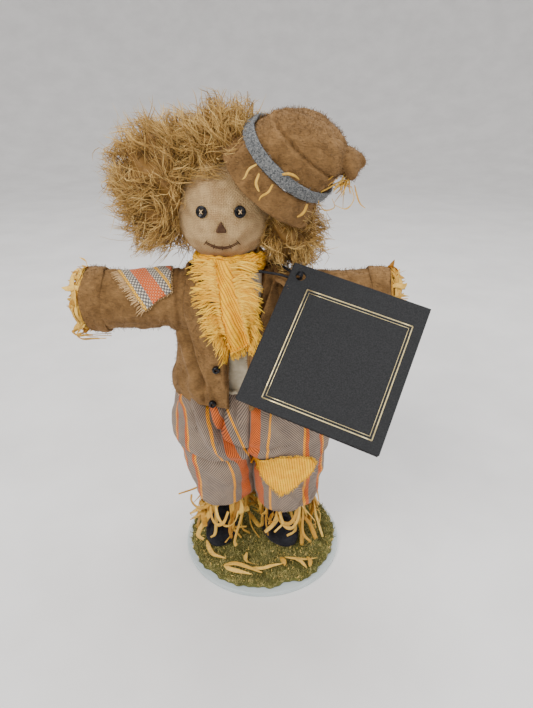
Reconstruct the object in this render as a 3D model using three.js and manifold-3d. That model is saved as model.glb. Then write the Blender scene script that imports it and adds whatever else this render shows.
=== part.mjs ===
// Scarecrow figure: a small cloth doll standing on a turfed glass disc, with a folded card tag.
// Millimetres, +Z up. The origin is the centre of the disc's underside and the figure faces -Y.
import * as THREE from 'three';
import { mergeVertices } from 'three/addons/utils/BufferGeometryUtils.js';
import Module from 'manifold-3d';

const wasm = await Module();
wasm.setup();
const { Manifold, Mesh: SolidMesh } = wasm;

// ---- driving dimensions ------------------------------------------------------------------
const GAP = 0.3; // clearance between neighbouring pieces
const DISC = { radius: 31, thickness: 2, bevel: 0.3 };
const TURF = { radius: 29.4, top: 4.3, wave: 0.7 };
const FELT = 1.3; // thickness of the jacket and hat felt
const CLOTH = 0.9; // thickness of the trouser, shirt and scarf cloth
const PATCH = 0.6; // thickness of the two patches
const PEG_RADIUS = 1.5; // wooden dowels inside the figure
const ARM = { height: 104, radius: 10.6, right: -58, left: 42, cuff: 5 };
const HEAD = { centre: [-11.5, -1, 133], radii: [14.5, 13.5, 16] };
const BEAD = { radius: 1.3, flattening: 0.8 };
const HAT = { centre: [6, -4, 148.3], tilt: 41, nod: 20, brimDrop: 6.5, brimRadius: 17.6, bandHeight: 4 };
const TAG = {
  corner: [10, -11.1, 119.4], // top end of the fold
  width: 42.5,
  height: 45.2,
  card: 0.5,
  lift: 42, // how far the card leans back from upright, in degrees
  turn: -5.4,
  roll: 19,
  ajar: 3, // angle between the two leaves
  foldMargin: 0.4, // from the fold line to each leaf's own edge
  holeInset: 3.6,
  holeRadius: 1.5,
};
const CORD = { radius: 0.4, loop: 12.6, loopCentre: [-9.6, -0.5], loopHeight: 116.3, knot: 0.7 };
const WRAP = { centre: [-9.8, -0.6, 118.6], ring: 10, thickness: 2.6 }; // the neckcloth's roll
const HAIR = {
  top: [[-12, 3, 148], [17, 13.5, 15]],
  right: [[-30, 2.5, 140], [16.5, 15, 20.5]],
  left: [[8.6, 0.5, 126.6], [10.6, 12, 11.2]],
  back: [[-11, 12, 133], [15, 9.5, 14]],
};
const PAST = 4; // how far a cutter runs on beyond the piece that it cuts
const IN_FRONT = -40; // a Y well in front of the figure
const BEHIND = 40;

// The upright stations below are [z, centre x, centre y, half width, half depth].
const RIGHT_LEG = [
  [24, -14.5, 0, 9.8, 11], [34, -15.5, 0, 11, 12.5], [42, -16, 0, 12.6, 14], [54, -14, 0, 15, 14.5],
];
const LEFT_LEG = [
  [23.5, 9.1, 0, 11.7, 11.6], [34, 9.7, 0, 12, 12.8], [42, 10.2, 0, 12.9, 14], [54, 9, 0, 14, 14.5],
];
const HIPS = [
  [44.5, -3.5, 0, 25.5, 13.5], [48, -3.6, 0, 28, 16], [54, -3.8, 0, 28.6, 17], [60, -4.2, 0, 28, 16.8],
  [66, -4.8, 0, 26.4, 15.6], [72, -5.4, 0, 23, 13.4], [78, -6.2, 0, 19, 12],
];
const CHEST = [
  [78.6, -6.4, 0, 16.2, 10.4], [86, -7, 0, 16.6, 12], [98, -8, 0, 16.7, 12.2], [107, -8.6, 0, 15.8, 11.4],
  [112, -9, 0, 13.4, 9.8], [114.5, -9.4, -0.3, 8.2, 7.2], [116.6, -9.6, -0.5, 6.4, 6.2],
];
const JACKET = [
  [71.5, -5.4, 0, 25.6, 16.4], [79, -6.2, 0, 25.3, 16.4], [86, -7, 0, 22.6, 15.9], [92, -7.6, 0, 20, 15.3],
  [98, -8, 0, 19.5, 15], [106, -8.6, 0, 18.8, 14.3], [112, -9, 0, 16.4, 12.6], [115.5, -9.4, -0.3, 12.2, 10],
];
// The hat's stations stand in its own frame, from the band's lower edge up to the soft tip.
const CROWN = [
  [0, 1.3, 0, 14.3, 14], [4, 1.8, 0, 13.8, 13.6], [8, 2.6, 0, 12.8, 12.8], [11, 3.4, 0, 11.8, 11.8],
  [13.6, 4.6, 0, 9.4, 9.8], [15.4, 6.4, 0, 6, 6.6], [16.2, 7.2, 0, 2.2, 2.6],
];
const RUFF = [[15, 0, 0, 9.6, 9.6], [23, 0, 0, 8.6, 8.6]]; // straw round each ankle
const ROUND_SIDES = 20;

// ---- geometry helpers --------------------------------------------------------------------
const radians = THREE.MathUtils.degToRad;

// A closed body through elliptical stations, each grown outwards by `grow`. `below` and `above`
// carry on its first and last stations, so that a cutter passes right through.
function stack(stations, { grow = 0, below = 0, above = 0, sides = ROUND_SIDES } = {}) {
  const rows = stations.map((station) => [...station]);
  if (below) rows.unshift([rows[0][0] - below, ...rows[0].slice(1)]);
  if (above) rows.push([rows.at(-1)[0] + above, ...rows.at(-1).slice(1)]);
  const last = rows.length - 1;
  const profile = [[0, 0], ...rows.map((_, row) => [1, row]), [0, last]];
  const lathe = new THREE.LatheGeometry(profile.map(([r, row]) => new THREE.Vector2(r, row)), sides);
  const position = lathe.attributes.position;
  for (let i = 0; i < position.count; i += 1) {
    const [z, x, y, halfWidth, halfDepth] = rows[Math.round(position.getY(i))];
    const across = position.getX(i) * (halfWidth + grow);
    const along = -position.getZ(i) * (halfDepth + grow);
    position.setXYZ(i, x + across, y + along, z);
  }
  return lathe;
}

// Lays an upright stack down along X, so that its stations run from the body outwards.
const alongX = (geometry) => geometry.rotateY(Math.PI / 2).translate(0, 0, ARM.height);

function ellipsoid([x, y, z], [a, b, c], across = 16, down = 11) {
  return new THREE.SphereGeometry(1, across, down).rotateX(Math.PI / 2).scale(a, b, c).translate(x, y, z);
}

// A round section is drawn with twice its curveSegments, so `sides` is halved for it.
function rod(from, to, radius, sides = 12) {
  const path = new THREE.LineCurve3(new THREE.Vector3(...from), new THREE.Vector3(...to));
  const section = new THREE.Shape().absarc(0, 0, radius, 0, 2 * Math.PI);
  return new THREE.ExtrudeGeometry(section, { extrudePath: path, steps: 1, curveSegments: sides / 2 });
}

// A tube whose centre line passes smoothly through the points.
function tube(points, radius, steps, { closed = false, sides = 8 } = {}) {
  const path = new THREE.CatmullRomCurve3(points.map((point) => new THREE.Vector3(...point)), closed);
  const section = new THREE.Shape().absarc(0, 0, radius, 0, 2 * Math.PI);
  return new THREE.ExtrudeGeometry(section, { extrudePath: path, steps, curveSegments: sides / 2 });
}

// A prism with an outline drawn in X and Z, running from `front` back to `back` along Y.
function prism(outline, front, back) {
  const shape = new THREE.Shape(outline.map(([x, z]) => new THREE.Vector2(x, z)));
  const slab = new THREE.ExtrudeGeometry(shape, { depth: back - front, bevelEnabled: false });
  return slab.rotateX(Math.PI / 2).translate(0, back, 0);
}

function block([x0, y0, z0], [x1, y1, z1]) {
  const centre = [(x0 + x1) / 2, (y0 + y1) / 2, (z0 + z1) / 2];
  return new THREE.BoxGeometry(x1 - x0, y1 - y0, z1 - z0).translate(...centre);
}

function solid(geometry) {
  const bare = geometry.clone();
  bare.deleteAttribute('normal');
  bare.deleteAttribute('uv');
  const merged = mergeVertices(bare, 1e-4);
  const corners = merged.index.array;
  const faces = [];
  for (let i = 0; i < corners.length; i += 3) {
    const [a, b, c] = [corners[i], corners[i + 1], corners[i + 2]];
    if (a !== b && b !== c && c !== a) faces.push(a, b, c);
  }
  const vertProperties = Float32Array.from(merged.attributes.position.array);
  return new Manifold(new SolidMesh({ numProp: 3, vertProperties, triVerts: Uint32Array.from(faces) }));
}

function surface(manifold) {
  const { vertProperties, triVerts, numProp } = manifold.getMesh();
  const geometry = new THREE.BufferGeometry();
  const places = [];
  for (let i = 0; i < vertProperties.length; i += numProp) {
    places.push(vertProperties[i], vertProperties[i + 1], vertProperties[i + 2]);
  }
  geometry.setAttribute('position', new THREE.Float32BufferAttribute(places, 3));
  geometry.setIndex([...triVerts]);
  geometry.computeVertexNormals();
  return geometry;
}

const join = (...shapes) => shapes.reduce((whole, shape) => whole.add(shape));
const cut = (shape, ...cutters) => cutters.reduce((rest, cutter) => rest.subtract(cutter), shape);

// Half width, half depth and centre of a stack at one height, between its two nearest stations.
function stationAt(stations, z) {
  const above = Math.max(1, stations.findIndex((station) => station[0] >= z));
  const [low, high] = [stations[above - 1], stations[above]];
  const share = (z - low[0]) / (high[0] - low[0]);
  return low.map((value, i) => value + share * (high[i] - value));
}

// The y of a stack's front at a place across it.
function frontOf(stations, x, z, grow = 0) {
  const [, centreX, centreY, halfWidth, halfDepth] = stationAt(stations, z);
  const share = (x - centreX) / (halfWidth + grow);
  return centreY - (halfDepth + grow) * Math.sqrt(1 - share * share);
}

// ---- materials ---------------------------------------------------------------------------
const paint = (color, roughness, options = {}) =>
  new THREE.MeshStandardMaterial({ color, roughness, metalness: 0, ...options });
const COLOURS = {
  glass: () => paint(0xdfeaea, 0.08, { transparent: true, opacity: 0.4 }),
  turf: () => paint(0x67703a, 1),
  blackFelt: () => paint(0x15151a, 1),
  trousers: () => paint(0x94857d, 0.95),
  brownFelt: () => paint(0x80603f, 1),
  shirt: () => paint(0xb3a488, 0.95),
  yellow: () => paint(0xe0b14a, 0.95),
  striped: () => paint(0xd98c55, 0.95),
  calico: () => paint(0xe4d8c0, 1),
  wood: () => paint(0xc79c66, 0.7),
  hessian: () => paint(0xc3a273, 1),
  straw: () => paint(0xd6a561, 0.8),
  tow: () => paint(0xcfa65f, 0.9),
  bead: () => paint(0x0c0c10, 0.2),
  thread: () => paint(0x3a2419, 0.9),
  greyFelt: () => paint(0x7e858b, 1),
  card: () => paint(0x3c3d40, 0.8),
  elastic: () => paint(0x101012, 0.7),
};

const figure = new THREE.Group();
function add(name, shape, colour, parent = figure) {
  const geometry = shape.isBufferGeometry ? shape : surface(shape);
  const mesh = new THREE.Mesh(geometry, COLOURS[colour]());
  mesh.name = name;
  parent.add(mesh);
  return mesh;
}

// ---- whole forms that several pieces are cut from ---------------------------------------
const trouserForm = (grow, below = 0, above = 0) => join(
  solid(stack(HIPS, { grow, above })),
  solid(stack(RIGHT_LEG, { grow, below })),
  solid(stack(LEFT_LEG, { grow, below })),
);
const jacketForm = (grow, below = 0, above = 0) => solid(stack(JACKET, { grow, below, above }));
const headForm = (grow) => solid(ellipsoid(HEAD.centre, HEAD.radii.map((radius) => radius + grow)));
// A round bar along X at arm height, between two places in either order.
const armForm = (from, to, radius) => {
  const ends = [Math.min(from, to), Math.max(from, to)];
  return solid(alongX(stack(ends.map((x) => [x, 0, 0, radius, radius]))));
};
const spine = [[-5.6, -3, 57], [-10.6, -2.4, 128]];
const spineForm = (grow) => solid(rod(spine[0], spine[1], PEG_RADIUS + grow));
const crossbar = [[ARM.right + 5, 2.4, ARM.height], [ARM.left - 5, 2.4, ARM.height]];
const crossbarForm = (grow) => solid(rod(
  [crossbar[0][0] - grow, crossbar[0][1], crossbar[0][2]],
  [crossbar[1][0] + grow, crossbar[1][1], crossbar[1][2]],
  PEG_RADIUS + grow,
));

// ---- base ----------------------------------------------------------------------------------
const turned = (profile) =>
  new THREE.LatheGeometry(profile.map(([r, z]) => new THREE.Vector2(r, z)), 48).rotateX(Math.PI / 2);

function baseDisc() {
  const { radius, thickness, bevel } = DISC;
  const profile = [
    [0, 0], [radius - bevel, 0], [radius, bevel], [radius, thickness - bevel], [radius - bevel, thickness],
    [0, thickness],
  ];
  return turned(profile);
}

// A thin mat of turf with a wandering edge.
function turfMat() {
  const { radius, top, wave } = TURF;
  const profile = [[0, DISC.thickness], [radius, DISC.thickness], [radius - 0.8, top], [0, top]];
  const mat = turned(profile);
  const position = mat.attributes.position;
  for (let i = 0; i < position.count; i += 1) {
    const angle = Math.atan2(position.getY(i), position.getX(i));
    const wander = 1 + (wave * (Math.sin(7 * angle) + 0.6 * Math.sin(17 * angle + 1))) / (1.6 * radius);
    position.setXYZ(i, position.getX(i) * wander, position.getY(i) * wander, position.getZ(i));
  }
  return mat;
}

add('base_disc', baseDisc(), 'glass');
add('turf_mat', turfMat(), 'turf');

// ---- feet and legs -------------------------------------------------------------------------
const FEET = [
  { side: 'right', ankle: [-15.5, 2], heading: -12, leg: RIGHT_LEG },
  { side: 'left', ankle: [4.4, 0.5], heading: 34, leg: LEFT_LEG },
];
const SOLE = TURF.top + 0.1;
const ANKLE = { radius: 5.2, top: 27.7 };

// A plump felt boot: a rounded foot on a flat sole, with a tube for the ankle.
function boot({ ankle, heading }, pegHole) {
  const foot = solid(ellipsoid([0, -4.4, SOLE + 2.4], [6.4, 9.8, 6.4]));
  const shaft = solid(rod([0, 0, SOLE + 1], [0, 0, ANKLE.top], ANKLE.radius, 16));
  const belowSole = solid(block([-DISC.radius, -DISC.radius, -PAST], [DISC.radius, DISC.radius, SOLE]));
  const shape = cut(join(foot, shaft), belowSole);
  return cut(shape.rotate([0, 0, heading]).translate([...ankle, 0]), pegHole);
}

for (const foot of FEET) {
  const [x, y] = foot.ankle;
  const hipX = foot.leg.at(-1)[1];
  const peg = (grow) => solid(rod([x, y, 12 - grow], [hipX, y - 1.5, 64 + grow], PEG_RADIUS + grow));
  foot.peg = peg;
  add(`boot_${foot.side}`, boot(foot, peg(GAP)), 'blackFelt');
  add(`leg_peg_${foot.side}`, peg(0), 'wood');
  const knees = foot.leg.slice(1, 3);
  const leg = solid(stack(knees, { grow: -CLOTH - GAP, below: knees[0][0] - ANKLE.top - GAP, above: 8.3 }));
  foot.wadding = leg.intersect(trouserForm(-CLOTH - GAP, PAST));
  add(`leg_${foot.side}`, cut(foot.wadding, peg(GAP)), 'calico');
}

// Straw bunched round each ankle, spreading under the trouser hem.
for (const foot of FEET) {
  const [x, y] = foot.ankle;
  const outer = solid(stack(RUFF)).translate([x, y, 0]);
  const inner = solid(stack([[13, x, y, 5.5, 5.5], [25, x, y, 5.5, 5.5]]));
  add(`straw_ankle_${foot.side}`, cut(outer, inner, boot(foot, foot.peg(0)).translate([0, 0, GAP])), 'straw');
}

// Loose straws lying on the turf.
const GROUND_STRAWS = [
  [[-12, -19, 0], [-5, -21.5, 0.5], [2, -20.5, 0.1]],
  [[8, -20, 0], [13, -17, 0.4], [18, -18.5, 0.1]],
  [[-24, -10, 0], [-20, -15, 0.4], [-15, -17, 0.1]],
];
GROUND_STRAWS.forEach((points, i) => {
  const raised = points.map(([x, y, z]) => [x, y, z + TURF.top + 0.8]);
  add(`ground_straw_${i + 1}`, tube(raised, 0.6, 4, { sides: 6 }), 'straw');
});

// ---- trousers and body -------------------------------------------------------------------
add('trousers', cut(trouserForm(0), trouserForm(-CLOTH, PAST, PAST)), 'trousers');

const hipsWadding = solid(stack(HIPS.slice(3), { grow: -CLOTH - GAP, below: 8 }));
const torso = join(hipsWadding, solid(stack(CHEST, { below: 4 })));
const rods = [spineForm(GAP), crossbarForm(GAP), ...FEET.map((foot) => foot.peg(GAP))];
const legSpaces = FEET.map((foot) => foot.wadding.translate([0, 0, GAP]));
add('torso', cut(torso, ...rods, ...legSpaces), 'calico');
add('spine_post', spineForm(0), 'wood');
add('arm_crossbar', crossbarForm(0), 'wood');

const chestForm = (grow, beyond = PAST) => solid(stack(CHEST, { grow, below: beyond, above: beyond }));
const shirtOutline = [[-19, 79], [4, 79], [4, 108], [-1, 113], [-18, 113], [-20, 108]];
const shirtLayer = cut(chestForm(GAP + CLOTH, 0), chestForm(GAP));
add('shirt_front', shirtLayer.intersect(solid(prism(shirtOutline, IN_FRONT, -2))), 'shirt');

// ---- jacket --------------------------------------------------------------------------------
const openingOutline = [[-11.5, 60], [-4, 60], [-4.5, 90], [3, 120], [-21, 120], [-10.5, 90]];
const opening = solid(prism(openingOutline, IN_FRONT, 0));
const armhole = ARM.radius - FELT + 0.05;
const armholes = [armForm(ARM.right, -20, armhole), armForm(3, ARM.left, armhole)];
add('jacket_body', cut(jacketForm(0), jacketForm(-FELT, PAST, PAST), opening, ...armholes), 'brownFelt');

// A second layer of felt that turns back from the front opening, down to the hem.
const LAPEL = { inner: GAP, outer: GAP + FELT };
const layer = (inner, outer) => cut(jacketForm(outer), jacketForm(inner, PAST, PAST));
const lapelLayer = layer(LAPEL.inner, LAPEL.outer);
const rightLapel = [[-11.6, 72], [-10.6, 90], [-19.5, 114.5], [-26, 113], [-25, 103], [-21, 88], [-17.5, 72]];
const mirrorLine = -7.7;
const leftLapel = rightLapel.map(([x, z]) => [2 * mirrorLine - x, z]).reverse();
const sleeveSpace = [armForm(ARM.right, -10, ARM.radius + GAP), armForm(0, ARM.left, ARM.radius + GAP)];
[['right', rightLapel], ['left', leftLapel]].forEach(([side, outline], i) => {
  const lapel = lapelLayer.intersect(solid(prism(outline, IN_FRONT, 0)));
  add(`lapel_${side}`, cut(lapel, sleeveSpace[i]), 'brownFelt');
});
const collarBand = solid(prism([[-20, 107], [2, 107], [0, 117], [-18, 117]], GAP, BEHIND));
add('collar_back', cut(lapelLayer.intersect(collarBand), ...sleeveSpace), 'brownFelt');

for (const [name, x, z] of [['button_upper', -14.4, 86.5], ['button_lower', -16.2, 73.4]]) {
  const halfDepth = BEAD.radius * BEAD.flattening;
  const y = frontOf(JACKET, x, z, LAPEL.outer) - halfDepth - GAP;
  add(name, ellipsoid([x, y, z], [BEAD.radius, halfDepth, BEAD.radius], 10, 7), 'bead');
}

// ---- arms ------------------------------------------------------------------------------------
const sleeveRoot = jacketForm(LAPEL.inner);
const ARMS = [
  { side: 'right', way: -1, inner: -16, outer: ARM.right },
  { side: 'left', way: 1, inner: 0, outer: ARM.left },
];
for (const { side, way, inner, outer } of ARMS) {
  const bore = armForm(inner - way * 2 * PAST, outer + way * PAST, ARM.radius - FELT);
  add(`sleeve_${side}`, cut(armForm(inner, outer, ARM.radius), bore, sleeveRoot), 'brownFelt');
  const cuffInner = outer - way * ARM.cuff;
  const cuff = cut(
    armForm(cuffInner, outer - way * 0.4, ARM.radius + GAP + 0.8),
    armForm(cuffInner - way, outer + way, ARM.radius + GAP),
  );
  add(`cuff_${side}`, cuff, 'brownFelt');
  const stuffing = armForm(inner, outer - way * 2.4, ARM.radius - FELT - GAP);
  add(`arm_${side}`, cut(stuffing, chestForm(GAP + CLOTH + GAP), crossbarForm(GAP)), 'calico');
  // A wisp of straw pushed into the sleeve's open end.
  const [near, far] = [outer - way * 2, outer + way * 4.2];
  const wisp = [[near, 0, 0, 8, 8], [far, 0, 0, 9.8, 9.8]].sort((a, b) => a[0] - b[0]);
  add(`straw_cuff_${side}`, alongX(stack(wisp)), 'straw');
}

// ---- patches -----------------------------------------------------------------------------------
const kneeOutline = [[-5.6, 45.4], [0, 49.2], [6, 51.5], [12, 51.2], [17.6, 49.2], [19.4, 45.8], [7, 33]];
const kneeLayer = cut(trouserForm(GAP + PATCH), trouserForm(GAP, PAST, PAST));
add('knee_patch', kneeLayer.intersect(solid(prism(kneeOutline, IN_FRONT, -3))), 'yellow');

const elbowOutline = [[-46.6, 6.2], [-37, -7.6], [-28.2, -2.6], [-29.4, 9]];
const elbowPrism = solid(prism(elbowOutline, IN_FRONT, 0)).rotate([-45, 0, 0]).translate([0, 0, ARM.height]);
const elbowLayer = cut(armForm(-51, -22, ARM.radius + GAP + PATCH), armForm(-60, -10, ARM.radius + GAP));
add('elbow_patch', cut(elbowLayer.intersect(elbowPrism), jacketForm(LAPEL.outer + GAP)), 'striped');

// ---- neckcloth ---------------------------------------------------------------------------------
const frontOutline = [[-19, 113], [-1, 113], [2, 106], [0.5, 97], [-6.5, 90], [-12.5, 96], [-18, 105]];
const clothLayer = layer(LAPEL.outer + GAP, LAPEL.outer + GAP + CLOTH);
add('neckcloth_front', clothLayer.intersect(solid(prism(frontOutline, IN_FRONT, -2))), 'yellow');

const wrapForm = (grow) => solid(
  new THREE.TorusGeometry(WRAP.ring, WRAP.thickness + grow, 8, ROUND_SIDES).translate(...WRAP.centre),
);
add('neckcloth_wrap', cut(
  wrapForm(0),
  headForm(GAP),
  solid(stack(CHEST, { grow: GAP, above: 4 })),
  jacketForm(LAPEL.outer + GAP + CLOTH + GAP, 0, 1.4),
), 'yellow');

// ---- head and face -------------------------------------------------------------------------------
const head = cut(headForm(0), spineForm(GAP), solid(stack(CHEST.slice(-2), { grow: GAP, above: 2 })));
add('head', head, 'hessian');

// The y of the head's front at a place across it.
function faceAt(x, z, proud) {
  const [cx, cy, cz] = HEAD.centre;
  const [a, b, c] = HEAD.radii.map((radius) => radius + proud);
  return cy - b * Math.sqrt(1 - ((x - cx) / a) ** 2 - ((z - cz) / c) ** 2);
}
const EYE = { radius: 1.7, spacing: 5.4, height: 135, thickness: 0.9 };
for (const [side, way] of [['right', -1], ['left', 1]]) {
  const x = HEAD.centre[0] + way * EYE.spacing;
  const y = faceAt(x, EYE.height, GAP + EYE.thickness);
  const button = new THREE.CylinderGeometry(EYE.radius, EYE.radius, EYE.thickness, 14);
  const turned = solid(button.rotateX(-0.12).rotateZ(way * 0.42).translate(x, y, EYE.height));
  add(`eye_${side}`, cut(turned, headForm(GAP / 2)), 'bead');
}
const noseOutline = [[-13.2, 129.4], [-9.8, 129.4], [-11.5, 132.6]];
const noseLayer = cut(headForm(GAP + 1), headForm(GAP));
add('nose', noseLayer.intersect(solid(prism(noseOutline, IN_FRONT, -5))), 'thread');
const smile = [-4.8, -2.6, 0, 2.6, 4.8].map((offset) => {
  const [x, z] = [HEAD.centre[0] + offset, 124.4 + 0.07 * offset * offset];
  return [x, faceAt(x, z, GAP + 0.5), z];
});
add('mouth_stitch', tube(smile, 0.45, 8, { sides: 6 }), 'thread');

// ---- hat -------------------------------------------------------------------------------------------
const hat = new THREE.Group();
hat.position.set(...HAT.centre);
hat.rotation.set(radians(HAT.nod), radians(HAT.tilt), 0, 'YXZ');
figure.add(hat);
hat.updateMatrix();
const asWorn = (shape) => shape.transform(hat.matrix.toArray());

const tip = (grow) => solid(ellipsoid([14.2, 0, 13.2], [4.2 + grow, 5.2 + grow, 4 + grow], 16, 12));
const crownForm = (grow, below = 0) => join(solid(stack(CROWN, { grow, below })), tip(grow));
const crown = cut(crownForm(0), solid(stack(CROWN, { grow: -FELT, below: 4 })));
const { bandHeight, brimDrop, brimRadius } = HAT;
const brimCentre = CROWN[0][1];
const brimForm = (grow) => cut(
  solid(stack([
    [-brimDrop, brimCentre, 0, brimRadius + grow, brimRadius + grow],
    [-3, brimCentre, 0, 15.2 + grow, 15 + grow],
    [-GAP, brimCentre, 0, 14.2 + grow, 14 + grow],
  ])),
  solid(stack([
    [-brimDrop - 1, brimCentre, 0, brimRadius - FELT + 0.5 - grow, brimRadius - FELT + 0.5 - grow],
    [-3, brimCentre, 0, 15.2 - FELT - grow, 15 - FELT - grow],
    [1, brimCentre, 0, 14.2 - FELT - grow, 14 - FELT - grow],
  ])),
);
add('hat_crown', crown, 'brownFelt', hat);
add('hat_brim', brimForm(0), 'brownFelt', hat);
const bandSlab = solid(block([-30, -30, 0.2], [30, 30, bandHeight]));
const bandLayer = cut(crownForm(GAP + 0.9, 1), crownForm(GAP, 2));
add('hat_band', bandLayer.intersect(bandSlab), 'greyFelt', hat);
const bandStraws = [
  [[-4.5, -15.6, 5.2], [-5.6, -16.6, 1.6], [-4.6, -17.6, -2.2]],
  [[4.2, -15.3, 4.6], [5.4, -16.4, 2.4], [6.4, -16.4, -0.4]],
];
bandStraws.forEach((points, i) => {
  add(`hat_straw_${i + 1}`, tube(points, 0.5, 4, { sides: 6 }), 'straw', hat);
});
add('hat_tuft', stack([[3.4, 20.5, -3, 2.6, 2.2], [8.4, 18.2, -2, 1.2, 1.2]], { sides: 12 }), 'straw', hat);

// ---- tag and cord ----------------------------------------------------------------------------------
// The tag's own frame: +X along its top edge, -Z down its fold, and -Y out of its face.
const tag = new THREE.Group();
tag.position.set(...TAG.corner);
tag.rotation.set(radians(-TAG.lift), radians(TAG.roll), radians(TAG.turn), 'ZXY');
figure.add(tag);
tag.updateMatrix();

// A loop of thin elastic: from the knot on the tag's face through both leaves, round the neck and back.
const onTag = (x, y, z) => new THREE.Vector3(x, y, z).applyMatrix4(tag.matrix).toArray();
const throughHole = (y) => onTag(TAG.holeInset, y, -TAG.holeInset);
const onLoop = (degrees) => {
  const [x, y] = CORD.loopCentre;
  return [
    x + CORD.loop * Math.cos(radians(degrees)), y + CORD.loop * Math.sin(radians(degrees)), CORD.loopHeight,
  ];
};
// Degrees round the neck.
const loopPlaces = [-48, -70, -95, -120, -145, -170, -195, -220, -245, -270, -295, -320, -345, -362];
const cordRoute = [
  throughHole(-1), throughHole(0.4), throughHole(2), [10.2, -13.4, 115], [5.4, -11.6, 116],
  ...loopPlaces.map(onLoop), [6.2, -4.6, 116.6], [9.6, -9.6, 116], [11.4, -11.5, 115.9],
];
const cordTube = (radius) => tube(cordRoute, radius, 48, { sides: 8 });
const knot = ellipsoid(throughHole(-1.3 - 2 * CORD.radius), [CORD.knot, CORD.knot, CORD.knot], 8, 6);

// ---- hair --------------------------------------------------------------------------------------------
const hatSpace = asWorn(join(crownForm(GAP + 0.9 + GAP, 0.5), brimForm(GAP)));
const hatInside = asWorn(solid(stack(CROWN.slice(0, 5), { grow: -FELT - GAP, below: 10 })));
const neckSpace = solid(stack([[100, ...CORD.loopCentre, 14, 14], [117.4, ...CORD.loopCentre, 14, 14]]));
const blockers = [headForm(GAP), jacketForm(LAPEL.outer + GAP + CLOTH + GAP), neckSpace, wrapForm(GAP)];
const tuft = (part, grow = 0) => {
  const [centre, radii] = HAIR[part];
  return solid(ellipsoid(centre, radii.map((radius) => radius + grow)));
};
const underHat = cut(join(tuft('top'), hatInside), cut(hatSpace, hatInside));
const topSpace = join(tuft('top', GAP), hatSpace);
const cordSpace = solid(cordTube(CORD.radius + GAP));
add('hair_top', cut(underHat, headForm(GAP)), 'tow');
add('hair_right', cut(tuft('right'), ...blockers, topSpace), 'tow');
add('hair_left', cut(tuft('left'), ...blockers, topSpace, hatInside, cordSpace), 'tow');
add('hair_back', cut(tuft('back'), ...blockers, topSpace, tuft('right', GAP), tuft('left', GAP)), 'tow');

// ---- tag leaves ----------------------------------------------------------------------------------------
// One leaf of card, its inner face on y = 0 and its thickness towards `way` along Y.
function leaf(way) {
  const { foldMargin, width, height, holeInset, holeRadius, card } = TAG;
  const outline = new THREE.Shape([
    new THREE.Vector2(foldMargin, 0), new THREE.Vector2(foldMargin, -height),
    new THREE.Vector2(width, -height), new THREE.Vector2(width, 0),
  ]);
  outline.holes.push(new THREE.Path().absarc(holeInset, -holeInset, holeRadius, 0, 2 * Math.PI));
  const sheet = new THREE.ExtrudeGeometry(outline, { depth: card, bevelEnabled: false, curveSegments: 10 });
  return sheet.rotateX(Math.PI / 2).translate(0, way > 0 ? card : 0, 0);
}
add('tag_front_leaf', leaf(-1), 'card', tag).position.y = -GAP / 2;
const backLeaf = add('tag_back_leaf', leaf(1), 'card', tag);
backLeaf.position.y = GAP / 2;
backLeaf.rotation.z = radians(TAG.ajar);

add('tag_cord', cordTube(CORD.radius), 'elastic');
add('tag_knot', knot, 'elastic');

export default figure;
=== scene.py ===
"""Scarecrow figure on a turfed glass disc: the looks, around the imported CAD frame."""
import math

import bmesh
import bpy
import numpy as np
from mathutils import Euler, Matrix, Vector
from mathutils.bvhtree import BVHTree


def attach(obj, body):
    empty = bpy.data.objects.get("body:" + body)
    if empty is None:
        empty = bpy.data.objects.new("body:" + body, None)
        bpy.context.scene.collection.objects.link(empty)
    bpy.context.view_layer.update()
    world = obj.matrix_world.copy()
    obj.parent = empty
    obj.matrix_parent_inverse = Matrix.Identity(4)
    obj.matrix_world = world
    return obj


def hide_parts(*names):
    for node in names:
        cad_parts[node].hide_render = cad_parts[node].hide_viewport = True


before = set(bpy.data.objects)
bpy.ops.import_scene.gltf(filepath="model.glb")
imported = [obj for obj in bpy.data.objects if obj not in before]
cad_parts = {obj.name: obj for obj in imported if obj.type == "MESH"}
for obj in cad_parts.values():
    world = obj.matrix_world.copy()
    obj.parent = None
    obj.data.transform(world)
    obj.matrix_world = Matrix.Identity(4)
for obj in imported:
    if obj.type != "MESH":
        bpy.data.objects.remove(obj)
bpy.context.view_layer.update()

MM = 0.001
UP = np.array([0.0, 0.0, 1.0])
rng = np.random.default_rng(20)

CAMERA_PLACE, CAMERA_DOWN = (0.0016, -0.1693, 0.1638), 25.35  # metres, and degrees below level
CAMERA_LENS, CAMERA_FILM = 27.2, 36.0  # millimetres
FLOOR_FLAT, FLOOR_BEND, WALL_TOP = 1.0, 0.9, 2.0  # metres: the flat disc, the bend round it, and the wall
LAMPS = {
    "key": ((-0.45, -0.55, 0.75), 0.55, 8.4, (1.0, 0.985, 0.96)),
    "fill": ((0.65, -0.45, 0.45), 0.6, 3.6, (0.98, 0.985, 1.0)),
    "top": ((0.05, 0.25, 0.9), 0.6, 4.8, (1.0, 1.0, 1.0)),
}
STRIPE_PERIOD = 43.0  # how far round the trouser cloth the stripes repeat
TROUSER_CLOTH, PATCH_CLOTH, SHIRT_CLOTH, CUFF_FELT, BAND_FELT = 0.7, 0.42, 0.55, 0.8, 0.95  # thicknesses
IN_FRONT, BACKWARDS = -60.0, (0, 1, 0)  # Y well in front of the figure, and the way cloth is laid on it


# ---- camera, light and floor ------------------------------------------------------------
def place_camera():
    data = bpy.data.cameras.new("camera")
    data.sensor_fit = "VERTICAL"
    data.sensor_height = CAMERA_FILM
    data.lens = CAMERA_LENS
    camera = bpy.data.objects.new("camera", data)
    camera.location = CAMERA_PLACE
    camera.rotation_euler = (math.radians(90 - CAMERA_DOWN), 0, 0)
    data.clip_start = 0.005
    bpy.context.scene.collection.objects.link(camera)
    bpy.context.scene.camera = camera


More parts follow.
